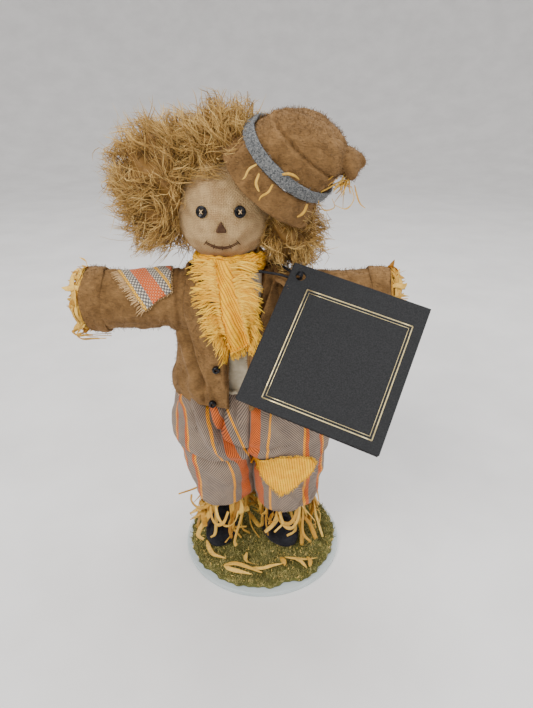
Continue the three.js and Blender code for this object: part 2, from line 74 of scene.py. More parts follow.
def area_light(name, place, size, power, colour):
    data = bpy.data.lights.new(name, "AREA")
    data.shape = "DISK"
    data.size = size
    data.energy = power
    data.color = colour
    light = bpy.data.objects.new(name, data)
    light.location = place
    aim = Vector((0, 0, 0.08)) - Vector(place)
    light.rotation_euler = aim.to_track_quat("-Z", "Y").to_euler()
    bpy.context.scene.collection.objects.link(light)


def place_lights_and_floor():
    for name, lamp in LAMPS.items():
        area_light(name, *lamp)
    world = bpy.data.worlds.new("studio")
    world.use_nodes = True
    world.node_tree.nodes["Background"].inputs["Color"].default_value = (0.97, 0.975, 1.0, 1)
    world.node_tree.nodes["Background"].inputs["Strength"].default_value = 0.7
    bpy.context.scene.world = world
    bend = np.linspace(0, np.pi / 2, 25)
    profile = [
        *zip(FLOOR_FLAT + FLOOR_BEND * np.sin(bend), FLOOR_BEND - FLOOR_BEND * np.cos(bend)),
        (FLOOR_FLAT + FLOOR_BEND, WALL_TOP),
    ]
    sides = 96
    points = revolve(profile, sides).reshape(-1, 3).tolist()
    walls = grid_faces(len(profile), sides, wrap_columns=True)[:, ::-1].tolist()
    faces = [list(range(sides)), *walls]
    data = bpy.data.meshes.new("floor")
    data.from_pydata(points, [], faces)
    data.polygons.foreach_set("use_smooth", [True] * len(faces))
    floor = bpy.data.objects.new("floor", data)
    bpy.context.scene.collection.objects.link(floor)
    look = Look("floor", roughness=0.6)
    look.colour(look.blotch(18, (0.80, 0.785, 0.77), (0.87, 0.855, 0.84)))
    data.materials.append(look.material)


# ---- materials ----------------------------------------------------------------------------
class Look:
    """A node material on one Principled shader, with short calls for the nodes that these pieces use."""

    def __init__(self, name, **sockets):
        self.material = bpy.data.materials.new(name)
        self.material.use_nodes = True
        self.tree = self.material.node_tree
        self.shader = self.tree.nodes["Principled BSDF"]
        for key, value in sockets.items():
            socket = self.shader.inputs[key.replace("_", " ").capitalize()]
            socket.default_value = value
        self.set("Specular IOR Level", 0.25)

    def set(self, socket, value):
        self.shader.inputs[socket].default_value = value

    def node(self, kind, inputs=(), **settings):
        node = self.tree.nodes.new("ShaderNode" + kind)
        for key, value in settings.items():
            setattr(node, key, value)
        for key, value in dict(inputs).items():
            if isinstance(value, bpy.types.NodeSocket):
                self.tree.links.new(value, node.inputs[key])
            else:
                node.inputs[key].default_value = value
        return node

    def place(self):
        return self.node("TexCoord").outputs["Object"]

    def uv(self):
        return self.node("TexCoord").outputs["UV"]

    def stretch(self, vector, scale):
        return self.node("Mapping", {"Vector": vector, "Scale": scale}).outputs["Vector"]

    def noise(self, scale, vector=None, detail=3.0, rough=0.6):
        inputs = {"Vector": vector or self.place(), "Scale": scale, "Detail": detail, "Roughness": rough}
        return self.node("TexNoise", inputs).outputs["Fac"]

    def attribute(self, name):
        return self.node("Attribute", attribute_name=name).outputs["Fac"]

    def math(self, operation, a, b=0.0, c=0.0, clamp=False):
        return self.node("Math", {0: a, 1: b, 2: c}, operation=operation, use_clamp=clamp).outputs[0]

    def ramp(self, factor, stops, smooth=True):
        node = self.node("ValToRGB", {"Fac": factor})
        elements = node.color_ramp.elements
        node.color_ramp.interpolation = "LINEAR" if smooth else "CONSTANT"
        elements[0].position, elements[1].position = stops[0][0], stops[-1][0]
        for place, _ in stops[1:-1]:
            elements.new(place)
        for element, (_, colour) in zip(elements, stops):
            element.color = (*colour, 1)
        return node.outputs["Color"]

    def blotch(self, scale, dark, light, low=0.35, high=0.65, vector=None, detail=3.0):
        return self.ramp(self.noise(scale, vector, detail), [(low, dark), (high, light)])

    def mix(self, factor, a, b, blend="MIX"):
        node = self.node("Mix", data_type="RGBA", blend_type=blend)
        for index, value in ((0, factor), (6, a), (7, b)):
            if isinstance(value, bpy.types.NodeSocket):
                self.tree.links.new(value, node.inputs[index])
            else:
                node.inputs[index].default_value = value if index == 0 else (*value, 1)
        return node.outputs[2]

    def humps(self, value, pitch):
        """A row of round humps along a value, one for each `pitch` of it."""
        turned = self.math("MULTIPLY", value, math.pi / pitch)
        return self.math("ABSOLUTE", self.math("SINE", turned))

    def pattern(self, vector=None):
        """The two ways across the cloth's flat pattern."""
        parts = self.node("SeparateXYZ", {"Vector": vector or self.uv()}).outputs
        return parts[0], parts[1]

    def tinted(self, stops):
        """A colour for each strand, from the tint that it was given."""
        return self.ramp(self.attribute("tint"), stops)

    def layers(self, base, *shades):
        """The base colour, darkened and lightened by each shade."""
        for shade in shades:
            base = self.mix(1.0, base, shade, "MULTIPLY")
        return self.colour(base)

    def colour(self, socket):
        self.tree.links.new(socket, self.shader.inputs["Base Color"])
        return self

    def bump(self, height, distance, strength=1.0):
        inputs = {"Height": height, "Distance": distance * MM, "Strength": strength}
        before = self.shader.inputs["Normal"]
        if before.is_linked:
            inputs["Normal"] = before.links[0].from_socket
        self.tree.links.new(self.node("Bump", inputs).outputs["Normal"], before)
        return self

    def sheen(self, weight, roughness, tint):
        self.set("Sheen Weight", weight)
        self.set("Sheen Roughness", roughness)
        self.set("Sheen Tint", (*tint, 1))
        return self


def felt(name, dark, light, tint, mottle=160):
    look = Look(name, roughness=0.95)
    broad = look.blotch(mottle, dark, light)
    fibres = look.noise(900, look.stretch(look.place(), (1, 1, 3.2)), 4.0)
    speck = look.ramp(fibres, [(0.3, (0.72, 0.72, 0.72)), (0.7, (1.22, 1.2, 1.16))])
    look.layers(broad, speck)
    look.bump(fibres, 0.35, 0.8).bump(look.noise(380), 0.5, 0.6)
    return look.sheen(0.2, 0.45, tint).material


def twill():
    """Grey twill with orange and yellow stripes. Its UV is in millimetres round the leg and up it."""
    look = Look("trouser_cloth", roughness=0.92)
    across, along = look.pattern()
    wander = look.math("MULTIPLY_ADD", look.noise(60), 0.7, -0.35)
    place = look.math("PINGPONG", look.math("ADD", across, wander), STRIPE_PERIOD / 2)
    share = look.math("DIVIDE", place, STRIPE_PERIOD / 2)
    orange, yellow = (0.33, 0.072, 0.013), (0.50, 0.21, 0.013)
    grey, mauve = (0.138, 0.110, 0.094), (0.150, 0.118, 0.098)
    edges = [
        (0.0, orange), (0.085, grey), (0.20, yellow), (0.24, mauve), (0.78, yellow), (0.815, orange),
        (0.875, grey),
    ]
    stripes = look.ramp(share, edges, smooth=False)
    pitch = 0.8
    ridge = look.humps(look.math("ADD", across, along), pitch)
    cross = look.humps(look.math("SUBTRACT", across, along), pitch * 0.55)
    weave = look.math("MULTIPLY", ridge, look.math("MULTIPLY_ADD", cross, 0.5, 0.5))
    shade = look.ramp(weave, [(0.1, (0.18, 0.18, 0.20)), (0.7, (2.25, 2.15, 1.95))])
    worn = look.blotch(220, (0.86, 0.86, 0.88), (1.12, 1.1, 1.06))
    look.layers(stripes, shade, worn)
    look.bump(weave, 0.18, 0.8).bump(look.noise(500), 0.2, 0.4)
    return look.sheen(0.15, 0.5, (0.9, 0.8, 0.75)).material


def ribbed(name, dark, light, pitch=0.86):
    """Loose cotton yarns side by side. Its UV is in millimetres across and along the yarns."""
    look = Look(name, roughness=0.9)
    across, along = look.pattern()
    rib, pick = look.humps(along, pitch), look.humps(across, pitch * 0.8)
    weave = look.math("MULTIPLY", rib, look.math("MULTIPLY_ADD", pick, 0.45, 0.55))
    tone = look.blotch(420, dark, light)
    shade = look.ramp(weave, [(0.08, (0.66, 0.58, 0.46)), (0.7, (1.16, 1.15, 1.12))])
    look.layers(tone, shade)
    look.bump(weave, 0.3, 0.9).bump(look.noise(900), 0.1, 0.5)
    return look.sheen(0.02, 0.5, (1.0, 0.8, 0.4)).material


def striped_cotton():
    """Coarse weave with grey check, orange and yellow bands. Its UV is in millimetres."""
    look = Look("striped_cotton", roughness=0.9)
    across, along = look.pattern()
    repeat, first_edge = 16.0, 35.4
    share = look.math("FRACT", look.math("DIVIDE", look.math("ADD", across, first_edge), repeat))
    red, yellow = (0.74, 0.13, 0.02), (0.85, 0.45, 0.015)
    pitch = 0.62
    weave = look.math("MULTIPLY", look.humps(across, pitch), look.humps(along, pitch))
    steps = [look.math("FRACT", look.math("DIVIDE", way, pitch * 2)) for way in (across, along)]
    signs = [look.math("SUBTRACT", step, 0.5) for step in steps]
    odd = look.math("LESS_THAN", look.math("MULTIPLY", *signs), 0.0)
    check = look.mix(odd, (0.13, 0.12, 0.12), (0.66, 0.60, 0.50))
    plain_bands = look.ramp(share, [(0.0, yellow), (0.28, red), (0.56, yellow), (0.92, red)], smooth=False)
    changes = (0.0, 0.07, 0.13, 0.28, 0.56, 0.70, 0.76, 0.92)  # where check and plain bands take turns
    is_check = look.ramp(share, [(at, (1 - k % 2,) * 3) for k, at in enumerate(changes)], smooth=False)
    dots = look.mix(look.math("MULTIPLY", odd, 0.3), plain_bands, (0.85, 0.55, 0.35))
    bands = look.mix(is_check, dots, check)
    shade = look.ramp(weave, [(0.05, (0.5, 0.48, 0.46)), (0.6, (1.15, 1.13, 1.1))])
    look.layers(bands, shade)
    look.bump(weave, 0.2, 0.9).bump(look.noise(900), 0.1, 0.5)
    return look.sheen(0.15, 0.5, (1.0, 0.9, 0.75)).material


def yarn(name, dark, light):
    look = Look(name, roughness=0.9)
    look.colour(look.tinted([(0.0, dark), (1.0, light)]))
    look.bump(look.noise(1600), 0.1, 0.6)
    return look.sheen(0.2, 0.5, (1.0, 0.9, 0.75)).material


def straw_look():
    look = Look("straw", roughness=0.62)
    tone = look.tinted([
        (0.0, (0.36, 0.17, 0.022)), (0.45, (0.62, 0.34, 0.05)), (1.0, (0.86, 0.54, 0.12)),
    ])
    streak = look.noise(420, look.stretch(look.place(), (3, 3, 0.6)), 4.0)
    shade = look.ramp(streak, [(0.3, (0.78, 0.75, 0.7)), (0.7, (1.12, 1.12, 1.1))])
    look.layers(tone, shade)
    look.bump(streak, 0.15, 0.7)
    look.set("Subsurface Weight", 0.08)
    look.set("Subsurface Scale", 0.002)
    return look.material


def strand_look(name, dark, middle, light, roughness=0.6):
    look = Look(name, roughness=roughness)
    look.colour(look.tinted([(0.0, dark), (0.5, middle), (1.0, light)]))
    look.bump(look.noise(1800), 0.05, 0.5)
    return look.sheen(0.1, 0.4, (1.0, 0.95, 0.8)).material


def hessian_look():
    """Open plain weave. Its UV is in millimetres."""
    look = Look("hessian", roughness=0.95)
    drift = look.node("TexNoise", {"Vector": look.uv(), "Scale": 0.35, "Detail": 2.0}).outputs["Color"]
    bent = look.node("VectorMath", {0: look.uv(), 1: drift}, operation="ADD").outputs[0]
    turn = 2 * math.pi / 0.95  # of a thread's wave, for each millimetre
    warp, weft = (look.math("SINE", look.math("MULTIPLY", part, turn)) for part in look.pattern(bent))
    over = look.math("GREATER_THAN", look.math("MULTIPLY", warp, weft), 0.0)
    first = look.math("MULTIPLY", over, look.math("ABSOLUTE", warp))
    second = look.math("MULTIPLY", look.math("SUBTRACT", 1.0, over), look.math("ABSOLUTE", weft))
    weave = look.math("ADD", first, second)
    tone = look.blotch(260, (0.43, 0.27, 0.125), (0.63, 0.43, 0.22))
    shade = look.ramp(weave, [(0.08, (0.42, 0.38, 0.32)), (0.6, (1.1, 1.08, 1.02))])
    look.layers(tone, shade)
    look.bump(weave, 0.28, 0.9).bump(look.noise(1500), 0.1, 0.6)
    return look.sheen(0.15, 0.5, (1.0, 0.9, 0.7)).material


def card_look():
    """Uncoated black card."""
    look = Look("card", roughness=0.72)
    grain = look.noise(2600, None, 2.0)
    look.colour(look.ramp(grain, [(0.35, (0.011, 0.0115, 0.0125)), (0.68, (0.024, 0.0245, 0.026))]))
    look.bump(grain, 0.05, 0.5).bump(look.noise(500), 0.06, 0.3)
    return look.material


def gold_look():
    look = Look("gold_foil", roughness=0.35, metallic=0.9)
    look.colour(look.blotch(900, (0.72, 0.56, 0.25), (0.92, 0.78, 0.42)))
    return look.material


def glass_look():
    look = Look("glass", roughness=0.05)
    look.set("Specular IOR Level", 0.5)
    look.set("Alpha", 0.42)
    look.colour(look.blotch(40, (0.70, 0.82, 0.82), (0.80, 0.90, 0.90)))
    smears = look.math("MULTIPLY_ADD", look.noise(120), 0.08, 0.02)
    look.tree.links.new(smears, look.shader.inputs["Roughness"])
    return look.material


def turf_look():
    look = Look("turf", roughness=0.9)
    patches = look.blotch(230, (0.27, 0.235, 0.085), (0.48, 0.41, 0.18))
    blades = look.tinted([
        (0.0, (0.30, 0.34, 0.20)), (0.5, (0.95, 0.98, 0.85)), (0.93, (1.5, 1.4, 1.1)), (1.0, (3.4, 2.7, 1.8)),
    ])
    look.layers(patches, blades)
    look.bump(look.noise(1300), 0.2, 0.8)
    return look.material


def plain(name, dark, light, roughness, scale=300, relief=0.1, stretched=(1, 1, 1)):
    look = Look(name, roughness=roughness)
    grain = look.stretch(look.place(), stretched)
    look.colour(look.blotch(scale, dark, light, vector=grain))
    look.bump(look.noise(scale * 3, grain), relief, 0.6)
    return look.material


BROWN = (0.138, 0.071, 0.023), (0.232, 0.127, 0.047), (0.7, 0.48, 0.27)
MATERIALS = {
    "brown_felt": felt("brown_felt", *BROWN),
    "black_felt": felt("black_felt", (0.006, 0.006, 0.009), (0.02, 0.02, 0.025), (0.3, 0.3, 0.35)),
    "grey_felt": felt("grey_felt", (0.035, 0.040, 0.046), (0.24, 0.245, 0.245), (0.6, 0.63, 0.66), 2300),
    "trouser_cloth": twill(),
    "yellow_cotton": ribbed("yellow_cotton", (0.86, 0.38, 0.006), (1.0, 0.55, 0.016)),
    "yellow_yarn": yarn("yellow_yarn", (0.72, 0.33, 0.008), (1.0, 0.64, 0.06)),
    "striped_cotton": striped_cotton(),
    "tan_yarn": yarn("tan_yarn", (0.42, 0.24, 0.09), (0.72, 0.50, 0.26)),
    "straw": straw_look(),
    "tow": strand_look("tow", (0.20, 0.10, 0.02), (0.50, 0.29, 0.075), (0.86, 0.60, 0.22)),
    "hessian": hessian_look(),
    "card": card_look(),
    "gold": gold_look(),
    "glass": glass_look(),
    "turf": turf_look(),
    "bead": plain("bead", (0.004, 0.004, 0.005), (0.01, 0.01, 0.012), 0.12, 500, 0.01),
    "dark_felt": plain("dark_felt", (0.055, 0.025, 0.012), (0.10, 0.05, 0.025), 0.95, 700, 0.2),
    "shirt_cloth": plain("shirt_cloth", (0.38, 0.32, 0.22), (0.50, 0.43, 0.31), 0.95, 400, 0.15),
    "calico": plain("calico", (0.60, 0.52, 0.40), (0.72, 0.64, 0.50), 0.95, 350, 0.1),
    "dowel": plain("dowel", (0.42, 0.26, 0.12), (0.62, 0.42, 0.22), 0.6, 260, 0.1, (6, 6, 0.8)),
    "elastic": plain("elastic", (0.008, 0.008, 0.01), (0.02, 0.02, 0.024), 0.7, 2500, 0.08),
}


# ---- mesh helpers: points are in millimetres -----------------------------------------
def new_piece(name, points, faces, material, uv=None, tint=None, smooth=True, body="figure"):
    """A mesh object from points and equal-sided faces, with the named material in its slot."""
    faces = np.asarray(faces, np.int32)
    sides = faces.shape[1]
    data = bpy.data.meshes.new(name)
    data.vertices.add(len(points))
    data.vertices.foreach_set("co", (np.asarray(points, float) * MM).astype(np.float32).ravel())
    data.loops.add(faces.size)
    data.loops.foreach_set("vertex_index", faces.ravel())
    data.polygons.add(len(faces))
    data.polygons.foreach_set("loop_start", np.arange(0, faces.size, sides, dtype=np.int32))
    data.polygons.foreach_set("use_smooth", np.full(len(faces), smooth))
    data.update(calc_edges=True)
    if uv is not None:
        layer = data.uv_layers.new(name="UVMap")
        layer.data.foreach_set("uv", np.asarray(uv, np.float32)[faces.ravel()].ravel())
    if tint is not None:
        attribute = data.attributes.new("tint", "FLOAT", "POINT")
        attribute.data.foreach_set("value", np.asarray(tint, np.float32))
    data.materials.append(MATERIALS[material])
    data.validate()
    piece = bpy.data.objects.new(name, data)
    bpy.context.scene.collection.objects.link(piece)
    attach(piece, body)
    return piece


def grid_faces(rows, columns, wrap_columns=False, wrap_rows=False, start=0):
    r = np.arange(rows if wrap_rows else rows - 1)
    c = np.arange(columns if wrap_columns else columns - 1)
    r, c = np.meshgrid(r, c, indexing="ij")
    r1, c1 = (r + 1) % rows, (c + 1) % columns
    quads = np.stack([r * columns + c, r * columns + c1, r1 * columns + c1, r1 * columns + c], -1)
    return quads.reshape(-1, 4) + start


def around(count, start=0.0):
    """Evenly spaced angles once round, without the last."""
    return np.linspace(start, start + 2 * np.pi, count, endpoint=False)


def level(angle):
    """The level direction at an angle: 0 is the front, and it grows towards +X."""
    return np.stack([np.sin(angle), -np.cos(angle), 0 * angle], -1)


def way_of(side):
    """-1 on the figure's right, +1 on its left."""
    return -1 if side == "right" else 1


def unit(vectors):
    return vectors / np.maximum(np.linalg.norm(vectors, axis=-1, keepdims=True), 1e-9)


def grid_normals(grid, wrap_columns):
    across = np.gradient(grid, axis=1)
    if wrap_columns:
        across = (np.roll(grid, -1, 1) - np.roll(grid, 1, 1)) / 2
    return unit(np.cross(across, np.gradient(grid, axis=0)))


def thick_sheet(name, grid, thickness, material, wrap_columns=False, uv=None, flip=False):
    """A closed sheet: the grid is its outer face, and the inner face lies `thickness` behind it."""
    rows, columns = grid.shape[:2]
    normals = grid_normals(grid, wrap_columns) * (-1 if flip else 1)
    rim = np.zeros((rows, columns, 1))
    rim[0], rim[-1] = 1, 1
    if not wrap_columns:
        rim[:, 0], rim[:, -1] = 1, 1
    outer = grid - normals * rim * thickness * 0.28
    inner = grid - normals * thickness * (1 - 0.28 * rim)
    points = np.concatenate([outer.reshape(-1, 3), inner.reshape(-1, 3)])
    count = rows * columns
    front = grid_faces(rows, columns, wrap_columns)
    back = front[:, ::-1] + count
    index = np.arange(count).reshape(rows, columns)
    edges = [index[0], index[-1][::-1]]
    if wrap_columns:
        edges = [np.append(index[0], index[0][:1]), np.append(index[-1], index[-1][:1])[::-1]]
    else:
        edges += [index[:, -1], index[:, 0][::-1]]
    rims = [np.stack([e[1:], e[:-1], e[:-1] + count, e[1:] + count], -1) for e in edges]
    faces = np.concatenate([front, back, *rims])
    if flip:
        faces = faces[:, ::-1]
    if uv is not None:
        uv = np.concatenate([uv.reshape(-1, 2)] * 2)
    return new_piece(name, points, faces, material, uv=uv)


def resample(paths, count):
    """Each path as `count` points on a smooth curve through its own points."""
    paths = np.asarray(paths, float)
    knots = paths.shape[-2]
    at = np.linspace(0, knots - 1, count)
    low = np.clip(np.floor(at).astype(int), 0, knots - 2)
    s = (at - low)[:, None]
    padded = np.concatenate([
        2 * paths[..., :1, :] - paths[..., 1:2, :], paths, 2 * paths[..., -1:, :] - paths[..., -2:-1, :],
    ], axis=-2)
    p0, p1, p2, p3 = (padded[..., low + k, :] for k in range(4))
    square, cube = 2 * p0 - 5 * p1 + 4 * p2 - p3, 3 * p1 - p0 - 3 * p2 + p3
    return 0.5 * (2 * p1 + (p2 - p0) * s + square * s**2 + cube * s**3)


def strips(name, paths, wide, thick, material, sides=6, facing=None, twist=0.0, taper=(0.5, 0.5),
           tint=None, body="figure"):
    """Closed strips of oval section along many paths of equal length in points, as one piece."""
    paths = np.asarray(paths, float)
    count, steps = paths.shape[:2]
    tangent = unit(np.gradient(paths, axis=1))
    if facing is None:
        facing = unit(rng.normal(size=(count, 1, 3)))
    else:
        facing = np.asarray(facing, float).reshape(count, -1, 3)
    side = unit(np.cross(tangent, facing + 1e-4))
    flat = unit(np.cross(side, tangent))
    along = np.linspace(0, 1, steps)[None, :]
    angle = np.asarray(twist, float).reshape(-1, 1) * along
    turned = side * np.cos(angle)[..., None] + flat * np.sin(angle)[..., None]
    raised = -side * np.sin(angle)[..., None] + flat * np.cos(angle)[..., None]
    near, far = (np.reshape(value, (-1, 1)) for value in taper)
    narrowing = np.minimum(near + (1 - near) * along * 5, far + (1 - far) * (1 - along) * 2.2)
    ends = np.minimum(1, narrowing)[..., None, None]
    round_angle = np.arange(sides) * 2 * np.pi / sides
    wide = np.asarray(wide, float).reshape(-1, 1, 1, 1) / 2
    thick = np.asarray(thick, float).reshape(-1, 1, 1, 1) / 2
    section = (
        turned[:, :, None] * np.cos(round_angle)[:, None] * wide
        + raised[:, :, None] * np.sin(round_angle)[:, None] * thick
    ) * ends
    points = (paths[:, :, None] + section).reshape(-1, 3)
    one = grid_faces(steps, sides, wrap_columns=True)
    per_strip = steps * sides
    offsets = (np.arange(count) * per_strip)[:, None, None]
    faces = (one[None] + offsets).reshape(-1, 4)
    if tint is None:
        tint = rng.random(count)
    tints = np.broadcast_to(np.asarray(tint, float).reshape(count, -1), (count, steps)).repeat(sides)
    piece = new_piece(name, points, faces, material, tint=tints, body=body)
    close_ends(piece.data, count, steps, sides)
    return piece


def close_ends(data, count, steps, sides):
    """Caps both ends of every strip in a mesh made by strips()."""
    first = np.arange(count)[:, None] * steps * sides
    near = first + np.arange(sides)[::-1]
    far = first + (steps - 1) * sides + np.arange(sides)
    caps = np.concatenate([near, far]).astype(np.int32)
    loops, polygons = len(data.loops), len(data.polygons)
    data.loops.add(caps.size)
    data.polygons.add(len(caps))
    everything = np.zeros(loops + caps.size, np.int32)
    data.loops.foreach_get("vertex_index", everything)
    everything[loops:] = caps.ravel()
    data.loops.foreach_set("vertex_index", everything)
    starts = np.concatenate([np.arange(polygons) * 4, loops + np.arange(len(caps)) * sides]).astype(np.int32)
    data.polygons.foreach_set("loop_start", starts)
    data.polygons.foreach_set("use_smooth", np.full(len(starts), True))
    data.update(calc_edges=True)


def waves(points, scale, seed):
    """Smooth noise between about -1 and 1 at each point, for bumps and wrinkles of `scale` millimetres."""
    local = np.random.default_rng(seed)
    total = np.zeros(points.shape[:-1])
    for octave in range(7):
        direction = unit(local.normal(size=3)) * local.uniform(0.7, 1.6) * 2 * np.pi / scale
        total += np.sin(points @ direction + local.uniform(0, 6.28))
    return total / 2.6


def read(items, name, width):
    """One value of every vertex or face of a mesh, as rows."""
    values = np.empty(len(items) * width, np.float32)
    items.foreach_get(name, values)
    return values.reshape(-1, width)


def bell(x, width):
    return np.exp(-((x / width) ** 2))


def smoothstep(low, high, x):
    t = np.clip((x - low) / (high - low), 0, 1)
    return t * t * (3 - 2 * t)


def dress(node, material):
    """A better material on a CAD node that stays."""
    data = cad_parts[node].data
    data.materials.clear()
    data.materials.append(MATERIALS[material])


# ---- forms shared with the CAD, in millimetres: z, centre x, centre y, half width, half depth --
class Stations:
    """An upright body through elliptical stations, eased between them."""

    def __init__(self, rows, ease=2.0):
        rows = np.array(rows, float)
        self.z = np.linspace(rows[0, 0] - 12, rows[-1, 0] + 12, 500)
        step = self.z[1] - self.z[0]
        reach = int(np.ceil(3 * ease / step))
        kernel = np.exp(-0.5 * (np.arange(-reach, reach + 1) * step / ease) ** 2)
        kernel /= kernel.sum()
        self.values = [
            np.convolve(np.pad(np.interp(self.z, rows[:, 0], column), reach, mode="edge"), kernel, "valid")
            for column in rows[:, 1:].T
        ]

    def at(self, z):
        return [np.interp(z, self.z, column) for column in self.values]

    def point(self, angle, z, grow=0.0):
        """angle 0 is the front, and it grows towards +X."""
        x, y, wide, deep = self.at(z)
        return np.stack([
            x + (wide + grow) * np.sin(angle), y - (deep + grow) * np.cos(angle), z + 0 * angle,
        ], -1)

    def angle(self, x, z, grow=0.0):
        centre, _, wide, _ = self.at(z)
        return np.arcsin(np.clip((x - centre) / (wide + grow), -0.98, 0.98))


LEGS = {
    "right": Stations([
        [24, -14.5, 0, 9.8, 11], [34, -15.5, 0, 11, 12.5], [42, -16, 0, 12.6, 14], [54, -14, 0, 15, 14.5],
    ]),
    "left": Stations([
        [23.5, 9.1, 0, 11.7, 11.6], [34, 9.7, 0, 12, 12.8], [42, 10.2, 0, 12.9, 14], [54, 9, 0, 14, 14.5],
    ]),
}
HIPS = Stations([
    [44.5, -3.5, 0, 26.5, 15], [48, -3.6, 0, 28, 16], [54, -3.8, 0, 28.6, 17], [60, -4.2, 0, 28, 16.8],
    [66, -4.8, 0, 26.4, 15.6], [72, -5.4, 0, 23.4, 13.6], [78, -6.2, 0, 19, 12],
])
CHEST = Stations([
    [78.6, -6.4, 0, 16.2, 10.4], [86, -7, 0, 16.6, 12], [98, -8, 0, 16.7, 12.2], [107, -8.6, 0, 15.8, 11.4],
    [112, -9, 0, 13.4, 9.8], [116.6, -9.6, -0.5, 6.4, 6.2],
], 1.0)
JACKET = Stations([
    [71.5, -5.4, 0, 24.6, 16], [75, -5.8, 0, 25.8, 16.6], [79, -6.2, 0, 25.3, 16.4], [86, -7, 0, 22.6, 15.9],
    [92, -7.6, 0, 20, 15.3], [98, -8, 0, 19.5, 15], [106, -8.6, 0, 18.8, 14.3], [112, -9, 0, 16.4, 12.6],
    [115.5, -9.4, -0.3, 12.2, 10],
], 1.4)
ARM_HEIGHT, ARM_RADIUS = 104.0, 10.6
HEAD_CENTRE, HEAD_RADII = np.array([-11.5, -1, 133.0]), np.array([14.5, 13.5, 16.0])
HAT_CENTRE = np.array([6, -4, 148.3])
HAT_TILT, HAT_NOD = math.radians(41), math.radians(20)
FELT, TURF_TOP = 1.3, 4.3
DISC_RADIUS, DISC_HEIGHT = 31.0, 2.0


def hat_place(points):
    """From the hat's own frame, with its band's lower edge on z = 0, to the figure's."""
    x, y, z = np.moveaxis(np.asarray(points, float), -1, 0)
    y, z = y * math.cos(HAT_NOD) - z * math.sin(HAT_NOD), y * math.sin(HAT_NOD) + z * math.cos(HAT_NOD)
    x, z = x * math.cos(HAT_TILT) + z * math.sin(HAT_TILT), -x * math.sin(HAT_TILT) + z * math.cos(HAT_TILT)
    return np.stack([x, y, z], -1) + HAT_CENTRE


def groove(points, line, depth, width, lip=0.0):
    """How far a fold drawn in front view, in X and Z, pushes the cloth in. A lip swells on its lower side."""
    curve = resample(np.array(line, float), 60)
    flat = points[..., [0, 2]]
    gap = flat[..., None, :] - curve
    distance = np.linalg.norm(gap, axis=-1)
    nearest = distance.argmin(-1)
    near = np.take_along_axis(distance, nearest[..., None], -1)[..., 0]
    heading = unit(np.gradient(curve, axis=0))[nearest]
    offset = np.take_along_axis(gap, nearest[..., None, None].repeat(2, -1), -2)[..., 0, :]
    below = heading[..., 0] * offset[..., 1] - heading[..., 1] * offset[..., 0] < 0
    front = smoothstep(2, -4, points[..., 1])
    swell = np.where(below, lip * bell(near - 2.6 * width, 1.8 * width), 0)
    return (swell - depth * bell(near, width)) * front


# ---- base and turf ---------------------------------------------------------------------------
def revolve(profile, columns):
    angle = around(columns)
    profile = np.array(profile, float)
    r, z = profile[:, :1], profile[:, 1:]
    return np.stack([r * np.cos(angle), r * np.sin(angle), z + 0 * angle], -1)


def capped(grid):
    """The points and faces of a closed body from a grid of rings: its first and last rings are filled."""
    rows, columns = grid.shape[:2]
    points = np.concatenate([grid.reshape(-1, 3), grid[:1].mean(1), grid[-1:].mean(1)])
    faces = grid_faces(rows, columns, wrap_columns=True)
    ring = np.arange(columns)
    after = (ring + 1) % columns
    low, high = rows * columns, rows * columns + 1
    last = (rows - 1) * columns
    bottom = np.stack([after, ring, np.full(columns, low), np.full(columns, low)], -1)
    top = np.stack([ring + last, after + last, np.full(columns, high), np.full(columns, high)], -1)
    return points, faces, np.concatenate([bottom, top])[:, :3]


def closed_body(name, grid, material, uv=None):
    """A closed body from a grid of rings, outwards when the rings run anticlockwise and upwards."""
    points, quads, triangles = capped(grid)
    piece = new_piece(name, points, quads, material)
    data = piece.data
    loops, polygons = len(data.loops), len(data.polygons)
    data.loops.add(triangles.size)
    data.polygons.add(len(triangles))
    corners = np.concatenate([quads.ravel(), triangles.ravel()]).astype(np.int32)
    data.loops.foreach_set("vertex_index", corners)
    starts = np.concatenate([np.arange(polygons) * 4, loops + np.arange(len(triangles)) * 3]).astype(np.int32)
    data.polygons.foreach_set("loop_start", starts)
    data.polygons.foreach_set("use_smooth", np.full(len(starts), True))
    data.update(calc_edges=True)
    if uv is not None:
        full = np.concatenate([uv.reshape(-1, 2), uv[0].mean(0)[None], uv[-1].mean(0)[None]])
        layer = data.uv_layers.new(name="UVMap")
        layer.data.foreach_set("uv", full[corners].astype(np.float32).ravel())
    return piece


def make_base():
    lower = [(DISC_RADIUS - inset, height) for inset, height in ((0.45, 0), (0.2, 0.08), (0.05, 0.3), (0, 0.7))]
    upper = [(radius, DISC_HEIGHT - height) for radius, height in reversed(lower)]
    disc = closed_body("glass_disc", revolve([(10, 0), *lower, *upper, (10, DISC_HEIGHT)], 180), "glass")
    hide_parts("base_disc")


BLADES = 13000


def turf_edge(angle):
    wave = 0.3 * np.sin(5 * angle + 0.4) + 0.2 * np.sin(13 * angle + 1) + 0.2 * np.sin(29 * angle)
    bare = 1.7 * bell(angle + 1.25, 0.10) + 1.3 * bell(angle + 2.3, 0.07)
    return 29.2 + wave + 0.25 * np.sin(47 * angle + 2) - bare


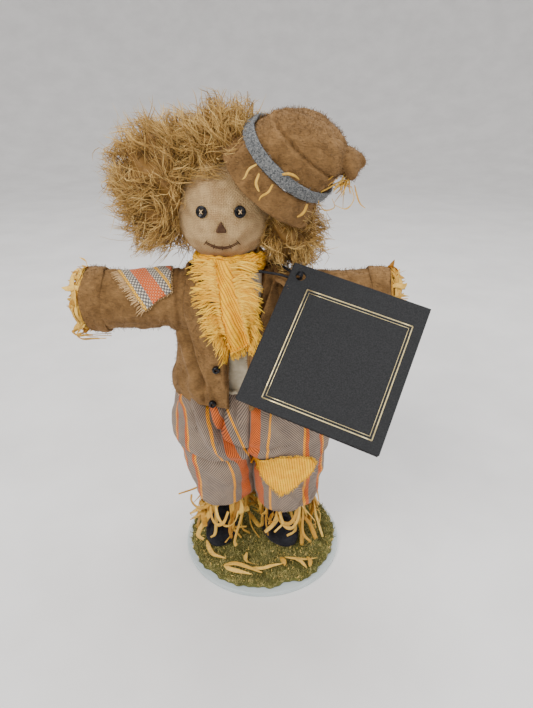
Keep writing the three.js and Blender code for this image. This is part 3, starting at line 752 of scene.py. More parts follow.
def make_turf():
    angle = around(240, -np.pi)
    shares = np.concatenate([[0.3, 0.97, 1.0], np.linspace(0.985, 0.04, 26)])
    heights = np.concatenate([[2.02, 2.02, 2.5], np.full(26, 3.35)])
    radius = shares[:, None] * turf_edge(angle)
    grid = np.stack([radius * np.cos(angle), radius * np.sin(angle), heights[:, None] + 0 * radius], -1)
    grid[3:, :, 2] += 0.22 * waves(grid[3:], 3.0, 3)
    mat = closed_body("turf_backing", grid, "turf")
    bearing = rng.uniform(-np.pi, np.pi, BLADES)
    out = np.sqrt(rng.random(BLADES)) * turf_edge(bearing)
    root = np.stack([out * np.cos(bearing), out * np.sin(bearing), np.full(BLADES, 3.1)], -1)
    lean = rng.normal(size=(BLADES, 3)) * [0.55, 0.55, 0] + UP * rng.uniform(0.6, 1.5, (BLADES, 1))
    bow = rng.normal(size=(BLADES, 3)) * [0.3, 0.3, 0.05]
    paths = np.stack([root, root + lean * 0.55 + bow, root + lean], 1)
    clump = waves(root, 5.0, 8) * 0.13 + 0.42
    tint = np.clip(rng.normal(0, 0.22, BLADES) + clump, 0, 0.93)
    tint[rng.random(BLADES) < 0.05] = 1.0
    strips("turf_blades", paths, rng.uniform(0.2, 0.42, BLADES), 0.09, "turf", sides=3,
           taper=(1, 0.35), tint=tint)
    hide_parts("turf_mat")


# ---- boots -----------------------------------------------------------------------------------------
def fused(name, bodies, voxel, material, shape, smooth=8):
    """Overlapping closed bodies melted into one smooth skin, which `shape` then moves, given its normals."""
    points, faces, start = [], [], 0
    for grid in bodies:
        body_points, quads, triangles = capped(grid)
        points.append(body_points)
        faces += (quads + start).tolist() + (triangles + start).tolist()
        start += len(body_points)
    data = bpy.data.meshes.new(name)
    data.from_pydata((np.concatenate(points) * MM).tolist(), [], faces)
    piece = bpy.data.objects.new(name, data)
    bpy.context.scene.collection.objects.link(piece)
    remesh = piece.modifiers.new("melt", "REMESH")
    remesh.mode = "VOXEL"
    remesh.voxel_size = voxel * MM
    ease = piece.modifiers.new("ease", "SMOOTH")
    ease.iterations = smooth
    ready = bpy.data.meshes.new_from_object(piece.evaluated_get(bpy.context.evaluated_depsgraph_get()))
    piece.modifiers.clear()
    piece.data = ready
    ready.name = name
    places = shape(read(ready.vertices, "co", 3) / MM, read(ready.vertices, "normal", 3)) * MM
    ready.vertices.foreach_set("co", places.astype(np.float32).ravel())
    ready.polygons.foreach_set("use_smooth", np.full(len(ready.polygons), True))
    ready.update()
    ready.materials.clear()
    ready.materials.append(MATERIALS[material])
    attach(piece, "figure")
    return piece


def ball(centre, radii, rows=24, columns=36):
    lat = np.linspace(-np.pi / 2 + 0.05, np.pi / 2 - 0.05, rows)[:, None]
    lon = around(columns)
    grid = np.stack([np.cos(lat) * np.cos(lon), np.cos(lat) * np.sin(lon), np.sin(lat) + 0 * lon], -1)
    return np.asarray(centre) + grid * np.asarray(radii)


FEET = {"right": ((-15.5, 2.0), -12), "left": ((4.4, 0.5), 34)}


def foot_place(side, points):
    (x, y), heading = FEET[side]
    turn = math.radians(heading)
    points = np.asarray(points, float)
    return np.stack([
        x + points[..., 0] * math.cos(turn) - points[..., 1] * math.sin(turn),
        y + points[..., 0] * math.sin(turn) + points[..., 1] * math.cos(turn),
        points[..., 2],
    ], -1)


def make_boot(side):
    sole = TURF_TOP + 0.05
    foot = ball((0, -4.4, sole + 2.6), (6.3, 9.6, 6.2))
    foot[..., 2] = np.maximum(foot[..., 2], sole)
    shaft = revolve([[5.0, sole + 1], [5.1, 14], [5.0, 20], [5.2, 27.5]], 32)

    def shape(points, normals):
        off_sole = smoothstep(sole, sole + 2, points[:, 2:3])
        return points + normals * 0.18 * waves(points, 5, 4)[:, None] * off_sole

    bodies = [foot_place(side, foot), foot_place(side, shaft)]
    boot = fused(f"boot_{side}_felt", bodies, 0.55, "black_felt", shape)
    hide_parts(f"boot_{side}")


# ---- trousers ----------------------------------------------------------------------------------------
def leg_reach(leg, angle, z, side):
    """How far the cloth lies from a leg's own middle: a round leg low down, and half the hips above."""
    direction = np.stack([-side * np.cos(angle), np.sin(angle)], -1)
    centre, _, wide, deep = leg.at(z)
    round_leg = 1 / np.sqrt((direction[..., 0] / wide) ** 2 + (direction[..., 1] / deep) ** 2)
    hip_x, _, hip_wide, hip_deep = HIPS.at(z)
    offset = centre - hip_x
    a = (direction[..., 0] / hip_wide) ** 2 + (direction[..., 1] / hip_deep) ** 2
    b = 2 * offset * direction[..., 0] / hip_wide**2
    c = (offset / hip_wide) ** 2 - 1
    to_hip = (-b + np.sqrt(np.maximum(b * b - 4 * a * c, 0))) / (2 * a)
    seam = np.interp(z, *SEAM_LINE)
    inward = direction[..., 0] * -side
    to_seam = np.where(inward > 0.05, np.abs(seam - centre) / np.maximum(inward, 0.05), 1e3)
    sharp = 12.0
    half_hip = (to_hip**-sharp + to_seam**-sharp) ** (-1 / sharp)
    round_leg = (round_leg**-sharp + to_seam**-sharp) ** (-1 / sharp)
    blend = smoothstep(43, 56, z)
    return round_leg * (1 - blend) + half_hip * blend, direction, centre


SEAM_LINE = (24, 34, 50, 60, 75), (-3.2, -3.9, -5.2, -4.4, -3.8)  # heights, and the inner seam's X at each
FOLDS = {
    "right": [
        ([(-21, 74), (-19.4, 70), (-16.8, 63.5), (-14.4, 59), (-11.6, 56.6), (-5.4, 54.6)], 3.4, 1.0, 2.2),
        ([(-12.3, 73), (-12.8, 66), (-14.2, 60.5)], 1.9, 0.8, 0.7),
        ([(-25, 75), (-23, 70), (-22.4, 65)], 1.5, 1.0, 0.8),
        ([(-8.2, 72), (-8.0, 64), (-6.6, 58)], 0.8, 0.8, 0.3),
    ],
    "left": [
        ([(2.6, 73), (1.6, 63), (-1.2, 56)], 1.2, 0.9, 0.7),
        ([(-3.4, 56), (0.6, 54.4), (6, 55.6)], 1.3, 1.0, 0.6),
        ([(13.5, 37), (15.5, 31), (14, 25)], 1.0, 0.9, 0.5),
        ([(19.5, 42), (20.5, 35), (18.5, 27)], 0.8, 0.9, 0.4),
    ],
}
BLOUSE = {
    "right": ((-33, -24, -16, -9, -5), (51.4, 50.2, 49.4, 49.8, 52.5), 1.5),
    "left": ((-5, 2, 12, 24), (50, 47, 46, 47), 0.5),
}
HEMS = {"right": 26.0, "left": 23.4}
STRIPE_INSET = 2.3  # from the leg's inner outline to the middle of its broad orange stripe
STRIPE_SLANT = {"right": 0.45, "left": 0.0}  # how fast that stripe leans outwards above the knee
STRIPE_REACH = 26.0  # where round the cloth the lean has died away


def make_trouser_half(side):
    way = way_of(side)
    leg, hem = LEGS[side], HEMS[side]
    rows, columns = 170, 300
    share = np.linspace(0, 1, columns, endpoint=False)
    angle = -2 * np.pi * share[None, :]
    z = np.linspace(hem, 77.6, rows)[:, None]
    reach, direction, centre = leg_reach(leg, angle, z, way)
    grid = np.stack([
        centre + reach * direction[..., 0], reach * direction[..., 1], z + 0 * reach,
    ], -1)
    smooth = grid.copy()
    grid[..., 2] += 0.5 * np.sin(share * 2 * np.pi * 3 + way) * smoothstep(hem + 8, hem, z)
    outward = np.concatenate([direction, np.zeros_like(direction[..., :1])], -1)
    push = 0.9 + 0.45 * waves(grid, 15, 11) + 0.22 * waves(grid, 6, 12)
    for line, depth, width, lip in FOLDS[side]:
        push = push + groove(grid, line, depth, width, lip)
    gathers = 0.5 * np.sin(share * 2 * np.pi * 15) * smoothstep(60, 76, z)
    inside = np.clip(direction[..., 0] * -way, 0, 1)
    push = (push + gathers) * (1 - 0.85 * inside * smoothstep(40, 48, z))
    push = push + 1.1 * inside * smoothstep(25, 30, z) * smoothstep(44, 40, z)
    tuck = 0.8 * bell(z - hem, 0.6)
    xs, heights, swell = BLOUSE[side]
    above = z - np.interp(grid[..., 0], xs, heights)
    ledge = smoothstep(-0.5, 0.9, above) * bell(above, 7) - 0.45 * bell(above + 1.2, 1.4)
    push = push + swell * ledge * smoothstep(3, -4, grid[..., 1]) * (1 - inside)
    grid = grid + outward * (push - tuck)[..., None]
    lengths = np.cumsum(np.linalg.norm(np.roll(smooth, -1, 1) - smooth, axis=2), axis=1)
    front = columns // 3
    inset = np.abs(smooth[:, :front, 0] - smooth[:, :1, 0])
    start = [[np.interp(STRIPE_INSET, gap, length)] for gap, length in zip(inset, lengths[:, :front])]
    lean = STRIPE_SLANT[side] * np.maximum(z - 47, 0)
    across = lengths - start
    across = across - lean * (1 - smoothstep(lean, STRIPE_REACH, across))
    uv = np.stack([across, z + 0 * across], -1)
    piece = thick_sheet(f"trouser_leg_{side}", grid, TROUSER_CLOTH, "trouser_cloth", wrap_columns=True, uv=uv,
                        flip=side == "right")
    seam_uv(piece, 2 * STRIPE_PERIOD)
    return piece


def seam_uv(piece, full):
    """Keeps the cloth's pattern from running backwards across the column where the grid closes."""
    layer = piece.data.uv_layers["UVMap"].data
    uv = np.empty(len(layer) * 2, np.float32)
    layer.foreach_get("uv", uv)
    uv = uv.reshape(-1, 4, 2)
    far = uv[..., 0].max(1, keepdims=True) - uv[..., 0] > full / 2
    uv[..., 0] += np.where(far, full, 0)
    layer.foreach_set("uv", uv.ravel())


def make_trousers():
    halves = [make_trouser_half(side) for side in FEET]
    for side, half in zip(FEET, halves):
        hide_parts("trousers")
    return halves


# ---- laying cloth on finished pieces -----------------------------------------------------
def skin_of(*pieces):
    """A tree of the pieces' faces, in millimetres."""
    points, faces, start = [], [], 0
    for piece in pieces:
        data = piece.data
        points += (read(data.vertices, "co", 3) / MM).tolist()
        faces += [[v + start for v in polygon.vertices] for polygon in data.polygons]
        start += len(data.vertices)
    return BVHTree.FromPolygons(points, faces)


def drop(skin, points, direction, offset):
    """Each point moved along `direction` until it meets the skin, then lifted off by `offset`."""
    flat = np.asarray(points, float).reshape(-1, 3)
    aim = unit(np.asarray(direction, float))
    hits = np.full(len(flat), np.nan)
    for index, point in enumerate(flat.tolist()):
        place, _, _, distance = skin.ray_cast(point, aim.tolist())
        if place is not None:
            hits[index] = distance
    missing = np.isnan(hits)
    hits[missing] = np.median(hits[~missing])
    landed = flat + aim * (hits[:, None] - offset)
    return landed.reshape(np.shape(points))


def eased(grid, passes):
    """The grid's depths, smoothed so that cloth bridges the small hollows under it."""
    for _ in range(passes):
        padded = np.pad(grid, ((1, 1), (1, 1), (0, 0)), mode="edge")
        middle = (padded[:-2, 1:-1] + padded[2:, 1:-1] + padded[1:-1, :-2] + padded[1:-1, 2:]) / 4
        grid = grid.copy()
        grid[..., 1] = 0.4 * grid[..., 1] + 0.6 * middle[..., 1]
    return grid


def blanket(corners, rows, columns, ragged=0.0):
    """A flat grid over four corners in X and Z: upper left, upper right, lower right, lower left."""
    upper_left, upper_right, lower_right, lower_left = (np.array(corner, float) for corner in corners)
    u = np.linspace(0, 1, columns)[None, :, None]
    v = np.linspace(0, 1, rows)[:, None, None]
    flat = (upper_left * (1 - u) + upper_right * u) * (1 - v) + (lower_left * (1 - u) + lower_right * u) * v
    centre = flat.mean((0, 1))
    reach = np.maximum(np.abs(u - 0.5), np.abs(v - 0.5)) * 2
    jag = ragged * rng.normal(size=(rows, columns, 1)) * smoothstep(0.93, 1.0, reach)
    return flat + unit(flat - centre) * jag


def laid(skin, flat, lift):
    """A grid in X and Z laid on the front of the skin, and lifted off it."""
    before = np.stack([flat[..., 0], np.full(flat.shape[:-1], IN_FRONT), flat[..., 1]], -1)
    return drop(skin, before, BACKWARDS, lift)


def fringe(name, skin, edge, heading, count, reach, droop, wide, spread):
    """Loose yarns along an edge in X and Z. They lie on the skin and stray from it towards their tips."""
    along = resample(np.array(edge, float), count)
    along = along + rng.normal(0, 0.12, along.shape)
    heading = unit(np.array(heading, float) + rng.normal(0, spread, along.shape))
    length = reach * rng.uniform(0.45, 1.15, (count, 1))
    steps = np.linspace(-0.25, 1, 5)
    paths = np.empty((count, 5, 3))
    for index, step in enumerate(steps):
        flat = along + heading * length * step
        flat[:, 1] -= droop * length[:, 0] * max(step, 0) ** 2
        paths[:, index] = laid(skin, flat, 0.6)
        paths[:, index, 1] -= np.abs(rng.normal(0, 0.35, count)) * (0.3 + max(step, 0))
    limit = paths[:, :1, 1]
    paths[..., 1] = np.clip(paths[..., 1], limit - 3.5, limit + 1.2)
    paths[:, 2:] += rng.normal(0, 0.18, (count, 3, 3))
    return strips(name, resample(paths, 9), rng.uniform(0.8, 1.2, count) * wide, wide * 0.8, "yellow_yarn",
                  sides=5, taper=(0.9, 0.5))


def fuzz(piece, count, length, material, wide=0.11, lie=1.1):
    """Fine fibres standing off a felt piece."""
    polygons = piece.data.polygons
    areas = read(polygons, "area", 1)[:, 0]
    chosen = rng.choice(len(polygons), count, p=areas / areas.sum())
    root = read(polygons, "center", 3)[chosen] / MM
    out = read(polygons, "normal", 3)[chosen]
    sweep = rng.normal(size=(count, 3)) * lie
    size = rng.uniform(0.5, 1.3, (count, 1)) * length
    first = root + unit(out + sweep * 0.7) * size * 0.5
    second = first + unit(out * 0.7 + sweep + rng.normal(size=(count, 3)) * 0.5) * size * 0.5
    paths = np.stack([root - out * 0.05, first, second], 1)
    strips(f"{piece.name}_fibres", paths, wide, wide * 0.7, material, sides=3, taper=(0.9, 0.3))


# ---- jacket ------------------------------------------------------------------------------------------
def opening_sides(z):
    """Where the jacket's front edges lie at each height."""
    return np.interp(z, [60, 90, 120], [-11.5, -10.5, -21]), np.interp(z, [60, 90, 120], [-4, -4.5, 3])


JACKET_FOLDS = [
    ([(-26.0, 100), (-24.0, 94), (-21.0, 88.4), (-19.2, 82.5), (-19.6, 77.5)], 1.5, 1.1, 1.5),
    ([(12, 96), (10, 88), (11, 78)], 0.6, 1.4, 0.4),
]


LAPEL_MIDDLE = -7.7  # X about which the left lapel mirrors the right one


def make_jacket_body():
    rows, columns = 130, 420
    z = np.linspace(71.0, 115.8, rows)[:, None]
    right, left = opening_sides(z)
    start, end = JACKET.angle(left, z), 2 * np.pi + JACKET.angle(right, z)
    share = np.linspace(0, 1, columns)[None, :]
    angle = start + (end - start) * share
    grid = JACKET.point(angle, z)
    outward = level(angle)
    hem = smoothstep(82, 71, z)
    push = 0.35 * waves(grid, 17, 21) + 0.15 * waves(grid, 6, 22) + hem * (0.7 * np.sin(angle * 5 + 1) + 0.5)
    for line, depth, width, lip in JACKET_FOLDS:
        push = push + groove(grid, line, depth, width, lip)
    back_seam = -0.5 * bell(angle - np.pi, 0.5 / 18)
    push = push + back_seam
    grid = grid + outward * push[..., None]
    grid[..., 2] += hem * (0.8 * np.sin(angle * 3) + 0.3 * np.sin(angle * 11))
    return thick_sheet("jacket_body_felt", grid, FELT, "brown_felt")


def make_lapel(side, skin):
    rows, columns = 110, 34
    inner = resample(np.array([(-11.3, 71.6), (-10.8, 80), (-10.4, 90), (-14.2, 101), (-19.6, 114.6)]), rows)
    outer = resample(np.array([(-17.2, 71.8), (-18.2, 80), (-21.6, 90), (-24.6, 102), (-23.8, 113.4)]), rows)
    share = np.linspace(0, 1, columns)[None, :, None]
    flat = inner[:, None] * (1 - share) + outer[:, None] * share
    if side == "left":
        flat[..., 0] = 2 * LAPEL_MIDDLE - flat[..., 0]
    grid = eased(laid(skin, flat, 1.8), 14)
    rise = np.linspace(71.6, 114.6, rows)[:, None]
    roll = 0.9 * bell(share[..., 0] - 0.12, 0.2) + 1.1 * smoothstep(0.7, 1.0, share[..., 0])
    grid[..., 1] -= roll * smoothstep(74, 90, rise) + 0.22 * waves(grid, 9, 31)
    return thick_sheet(f"lapel_{side}_felt", grid, FELT, "brown_felt", flip=side == "right")


def make_collar():
    rows, columns = 26, 150
    angle = np.linspace(np.radians(72), np.radians(288), columns)[None, :]
    share = np.linspace(0, 1, rows)[:, None]
    z = 108.2 + 8.6 * share
    shift = 1.9 + 1.3 * (1 - share) + 0.4 * np.sin(angle * 4)
    grid = JACKET.point(angle, np.minimum(z, 113.6), 1.6)
    grid[..., 2] = z
    outward = level(angle)
    grid = grid + outward * (shift - 1.6 - 1.6 * share + 0.2 * waves(grid, 8, 33))[..., None]
    return thick_sheet("collar_back_felt", grid, FELT, "brown_felt")


ARMS = {"right": (-16.0, -58.0), "left": (0.0, 42.0)}


def arm_grid(start, end, radius, rows, columns, seed, wrinkle=1.0):
    """Rings round the arm's axis from one place along X to another."""
    x = np.linspace(start, end, rows)[:, None]
    angle = around(columns)[None, :]
    way = 1 if end > start else -1
    ring = np.stack([x + 0 * angle, np.cos(angle) * way + 0 * x, np.sin(angle) + 0 * x], -1)
    grid = ring * [1, radius, radius] + [0, 0, ARM_HEIGHT]
    bend = wrinkle * (0.3 * waves(grid, 16, seed) + 0.12 * waves(grid, 5, seed + 1))
    outward = ring * [0, 1, 1]
    return grid + outward * bend[..., None], outward


def make_sleeve(side):
    inner, outer = ARMS[side]
    way = way_of(side)
    grid, outward = arm_grid(inner, outer, ARM_RADIUS - 0.1, 190, 220, 41 if side == "right" else 45)
    x = grid[..., 0]
    grid = grid - outward * (0.9 * smoothstep(10, 40, np.abs(x + 8)))[..., None]
    under = smoothstep(0.4, -1, outward[..., 2])
    shoulder = {"right": -26.5, "left": 10.5}[side]
    crease = np.zeros_like(x)
    for past, depth, slant in ((3.5, 0.8, 1.3), (8, 0.5, -1.6), (14, 0.35, 2)):
        gap = x - shoulder - way * past - slant * outward[..., 2]
        crease -= depth * bell(gap, 1.1) * (0.25 + 0.75 * under)
    crease -= 0.55 * bell(x - shoulder, 0.8)
    crease -= 0.5 * bell(outward[..., 2] + 1, 0.012)
    grid = grid + outward * crease[..., None]
    piece = thick_sheet(f"sleeve_{side}_felt", grid, FELT, "brown_felt", wrap_columns=True)
    band, band_out = arm_grid(outer - way * 7.2, outer - way * 0.2, ARM_RADIUS - 0.25, 46, 220, 51)
    share = np.abs(np.linspace(-1, 1, 46))[:, None]
    band = band + band_out * (0.22 - 0.6 * share**6 + 0.12 * np.sin(3 * share))[..., None]
    band[..., 0] += 0.35 * waves(band, 12, 52)
    cuff = thick_sheet(f"cuff_{side}_felt", band, CUFF_FELT, "brown_felt", wrap_columns=True)
    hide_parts(f"sleeve_{side}")
    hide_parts(f"cuff_{side}")
    return piece, cuff


def make_arm(side):
    inner, outer = ARMS[side]
    way = way_of(side)
    profile = [(0, 8.4), (0.3, 8.7), (0.6, 8.2), (0.97, 8.1), (0.99, 7.7), (1.0, 6.6)]
    share, radius = np.array(profile).T
    grid, outward = arm_grid(inner, outer - way * 1.6, 1.0, 40, 60, 61, wrinkle=0.0)
    reach = np.interp(np.linspace(0, 1, 40), share, radius)[:, None, None]
    grid = grid + outward * (reach - 1 + 0.15 * waves(grid, 8, 62)[..., None])
    arm = closed_body(f"arm_{side}_padding", grid, "calico")
    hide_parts(f"arm_{side}")


def make_padding():
    """The stuffed body and legs inside the clothes."""
    angle = around(72)[None, :]
    z = np.concatenate([np.linspace(60, 76, 14), np.linspace(79, 116, 40)])[:, None]
    low, high = HIPS.point(angle, z, -3.2), CHEST.point(angle, z, -0.4)
    share = smoothstep(70, 80, z)[..., None]
    grid = low * (1 - share) + high * share
    outward = level(angle + 0 * z)
    grid = grid + outward * 0.2 * waves(grid, 9, 71)[..., None]
    torso = closed_body("torso_padding", grid, "calico")
    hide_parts("torso")
    for side, leg in LEGS.items():
        z = np.linspace(28.2, 62, 30)[:, None]
        centre, _, wide, deep = leg.at(np.minimum(z, 50))
        shrink = np.where(z > 44, 3.6, 2.6)
        inner = np.abs(centre - np.interp(z, *SEAM_LINE)) - 1.3
        wide = np.minimum(wide - shrink, np.where(z > 44, inner, 99))
        grid = np.stack([
            centre + wide * np.sin(angle), -(deep - shrink) * np.cos(angle) + 0 * z, z + 0 * angle,
        ], -1)
        padding = closed_body(f"leg_{side}_padding", grid, "calico")
        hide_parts(f"leg_{side}")


def make_shirt():
    rows, columns = 90, 120
    z = np.linspace(75.5, 113.0, rows)[:, None]
    share = np.linspace(0, 1, columns)[None, :]
    left = np.interp(z, [79, 108, 113], [4, 4, -1.5])
    right = np.interp(z, [79, 108, 113], [-19, -20, -17.5])
    x = right + (left - right) * share
    angle = CHEST.angle(x, z, 1.2)
    grid = CHEST.point(angle, z, 1.2)
    pleats = 0.3 * np.sin(x * 1.1 + 0.4 * np.sin(z / 5))
    grid[..., 1] -= 2.4 * smoothstep(86, 76, z) + 0.25 * waves(grid, 7, 81) + pleats
    shirt = thick_sheet("shirt_front_cloth", grid, SHIRT_CLOTH, "shirt_cloth")
    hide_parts("shirt_front")
    return shirt


def make_shirt_tail():
    """The corner of the shirt that shows under the jacket's lower edge."""
    path = [(-11.0, 77.0), (-9.8, 76.3), (-8.4, 76.6), (-7.4, 75.6)]
    angle = HIPS.angle(np.array(path)[:, 0], np.array(path)[:, 1], 1.6)
    line = HIPS.point(angle, np.array(path)[:, 1], 2.2)
    offsets = rng.normal(0, 0.22, (9, 1, 3))
    paths = resample(line[None] + offsets, 9)
    strips("shirt_tail", paths, 1.1, 0.7, "shirt_cloth", sides=8)


BEADS = {"button_upper": (-14.4, 86.5), "button_lower": (-16.2, 73.4)}  # X and Z


def make_bead(name, x, z, skin):
    """A round glossy bead with a hole, sewn on by a thread."""
    place = laid(skin, np.array([[x, z]]), 0.75)[0]
    turns = around(40)[:, None]
    ring = around(28)[None, :]
    reach = 0.78 + 0.52 * np.cos(ring)
    depth = 0.92 * np.sin(ring)
    grid = np.stack([reach * np.cos(turns), depth + 0 * turns, reach * np.sin(turns)], -1) + place
    faces = grid_faces(40, 28, wrap_columns=True, wrap_rows=True)
    bead = new_piece(f"{name}_bead", grid.reshape(-1, 3), faces, "bead")
    thread = np.array([[(-0.1, 1.2, 0), (-0.1, -0.5, 0.15), (0.5, -0.9, 0.2), (1.2, 0.2, 0.1)]]) + place
    strips(f"{name}_thread", resample(thread, 12), 0.22, 0.22, "dark_felt", taper=(1, 1))
    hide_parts(name)


def make_jacket():
    body = make_jacket_body()
    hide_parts("jacket_body")
    skin = skin_of(body)
    lapels = {side: make_lapel(side, skin) for side in ("right", "left")}
    for side, lapel in lapels.items():
        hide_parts(f"lapel_{side}")
    collar = make_collar()
    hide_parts("collar_back")
    sleeves = {side: make_sleeve(side) for side in ("right", "left")}
    front = skin_of(body, *lapels.values())
    for name, (x, z) in BEADS.items():
        make_bead(name, x, z, front)
    for piece, count in ((body, 5200), (lapels["right"], 1500), (lapels["left"], 1100), (collar, 1100)):
        fuzz(piece, count, 1.15, "brown_felt")
    for sleeve, cuff in sleeves.values():
        fuzz(sleeve, 4200, 1.15, "brown_felt")
        fuzz(cuff, 1100, 1.0, "brown_felt")
    return body, lapels, sleeves


# ---- patches and neckcloth -----------------------------------------------------------------------------
KNEE_CROWN = 4.2  # how far the patch's upper edge rises above a straight line


def make_knee_patch(trousers):
    skin = skin_of(*trousers)
    corners = [(-4.4, 45.8), (17.6, 49.2), (19.4, 45.8), (7.0, 33.0)]
    flat = blanket(corners, 100, 130, 0.16)
    flat[..., 1] += KNEE_CROWN * np.sin(np.pi * np.linspace(0, 1, 130)) * np.linspace(1, 0, 100)[:, None]
    grid = eased(laid(skin, flat, 0.8), 24)
    grid[..., 1] -= 0.16 * waves(grid, 9, 91)
    patch = cloth("knee_patch_cotton", grid, flat, PATCH_CLOTH, "yellow_cotton", -82)
    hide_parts("knee_patch")
    edges = [((0.05, 1), 70, 0.7), ((1, -0.3), 30, 0.9), ((0.6, -0.8), 50, 0.9), ((-0.7, -0.7), 60, 1.0)]
    for a, (heading, count, reach) in enumerate(edges):
        b = (a + 1) % 4
        share = np.linspace(0.2 * (a == 0), 1 - 0.25 * (b == 0), 7)
        edge = np.array(corners[a]) + share[:, None] * np.subtract(corners[b], corners[a])
        edge[:, 1] += KNEE_CROWN * np.sin(np.pi * share) * (a == 0)
        fringe(f"knee_fringe_{a + 1}", skin, edge, heading, count, reach, 0, 0.3, 0.2)


def cloth(name, grid, flat, thickness, material, turn):
    """A sheet whose UV is its flat pattern in millimetres, turned by `turn` degrees."""
    angle = math.radians(turn)
    rotate = np.array([[math.cos(angle), -math.sin(angle)], [math.sin(angle), math.cos(angle)]])
    return thick_sheet(name, grid, thickness, material, uv=flat @ rotate)


def make_elbow_patch(sleeve):
    skin = skin_of(sleeve)
    turn = math.radians(45)
    aim = np.array([0, math.cos(turn), -math.sin(turn)])
    across = np.array([0, -math.sin(turn), -math.cos(turn)])
    corners = [(-46.6, -6.2), (-29.4, -9.0), (-28.2, 2.6), (-37.0, 7.6)]
    flat = blanket(corners, 90, 110, 0.12)

    def over(points):
        x, down = points[..., 0], points[..., 1]
        base = np.array([0, -14 * math.sin(turn) * 3, ARM_HEIGHT + 14 * math.cos(turn) * 3])
        return base + x[..., None] * [1, 0, 0] + down[..., None] * across

    grid = drop(skin, over(flat), aim, 0.75)
    patch = cloth("elbow_patch_cotton", grid, flat * [1, -1], PATCH_CLOTH, "striped_cotton", 36)
    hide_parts("elbow_patch")
    edges = [((0, 3), (-0.85, 0.5), 90, 2.4), ((3, 2), (0.3, 0.95), 40, 0.5), ((1, 2), (1, 0.1), 40, 0.5)]
    for index, ((a, b), heading, count, reach) in enumerate(edges):
        along = resample(np.array([corners[a], corners[b]], float), count) + rng.normal(0, 0.1, (count, 2))
        way = unit(np.array(heading) + rng.normal(0, 0.16, (count, 2)))
        size = reach * rng.uniform(0.5, 1.2, (count, 1))
        stack = [
            drop(skin, over(along + way * size * step), aim, 0.55 + 0.25 * max(step, 0))
            for step in (-0.3, 0.2, 0.6, 1)
        ]
        yarns = resample(np.stack(stack, 1), 7)
        strips(f"elbow_fringe_{index + 1}", yarns, 0.26, 0.2, "tan_yarn",
                              sides=5, taper=(0.9, 0.6))


NECK = np.array([-9.8, -0.6, 118.2])


def make_neckcloth(front_pieces):
    skin = skin_of(*front_pieces)
    rows, columns = 150, 110
    v = np.linspace(0, 1, rows)[:, None]
    u = np.linspace(0, 1, columns)[None, :]
    rise = np.linspace(0, 1, 6)
    left_edge = np.interp(v, rise, [-15.2, -14.8, -14.2, -13.2, -11.6, -9.6])
    right_edge = np.interp(v, rise, [-7.6, -6.6, -5.6, -4.8, -4.2, -3.4])
    x = left_edge + (right_edge - left_edge) * u
    bottom, top = 90.6 + 3.9 * u, 121.2
    z = top + (bottom - top) * v
    flat = np.stack([x + 0.18 * waves(np.stack([x, z, 0 * x], -1), 5, 93), z], -1)
    grid = eased(laid(skin, flat, 1.5), 60)
    near_neck = smoothstep(101, 109, z)
    off_centre = np.clip((x - NECK[0]) / 10.8, -1, 1)
    neck_y = NECK[1] - 13.7 * np.sqrt(1 - 0.72 * off_centre**2)
    grid[..., 1] = grid[..., 1] * (1 - near_neck) + neck_y * near_neck
    fold = 1.5 * np.sin((x + 0.3 * (z - 100)) * 1.15) * smoothstep(90, 100, z)
    belly = 1.1 * bell(u - 0.5, 0.33) * smoothstep(88, 100, z)
    grid[..., 1] -= fold * 0.5 + belly + 0.2 * waves(grid, 6, 94)
    pattern = np.stack([x, z], -1)
    piece = cloth("neckcloth_front_cotton", grid, pattern, 0.5, "yellow_cotton", -66)
    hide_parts("neckcloth_front")
    cloth_skin = skin_of(piece, *front_pieces)
    sides = [
        ("left_upper", [(-15.4, 121), (-14.6, 114), (-14.2, 108.5)], (-0.95, 0.12), 150, 6.4, 0.25),
        ("left_middle", [(-14.2, 108.5), (-13.6, 103), (-12.4, 98)], (-0.97, 0.05), 120, 5.6, 0.3),
        ("left_lower", [(-14.0, 101), (-12.2, 96.5), (-10.4, 92.6)], (-0.3, -0.9), 110, 4.2, 0.2),
        ("right_upper", [(-7.6, 120.5), (-6.4, 113), (-5.6, 108.5)], (0.97, 0.0), 140, 6.2, 0.3),
        ("right_middle", [(-5.6, 108.5), (-4.8, 103), (-4.2, 98.5)], (0.9, -0.4), 110, 5.2, 0.3),
        ("right_lower", [(-4.2, 98.5), (-3.8, 96.5), (-3.4, 94.5)], (0.7, -0.7), 40, 2.6, 0.2),
        ("tail", [(-9.8, 90.8), (-7.6, 91.8), (-5.4, 93), (-3.4, 94.5)], (0.25, -1), 80, 2.8, 0),
    ]
    fringes = [
        fringe(f"neckcloth_fringe_{label}", cloth_skin, edge, heading, count, reach, droop, 0.42, 0.24)
        for label, edge, heading, count, reach, droop in sides
    ]


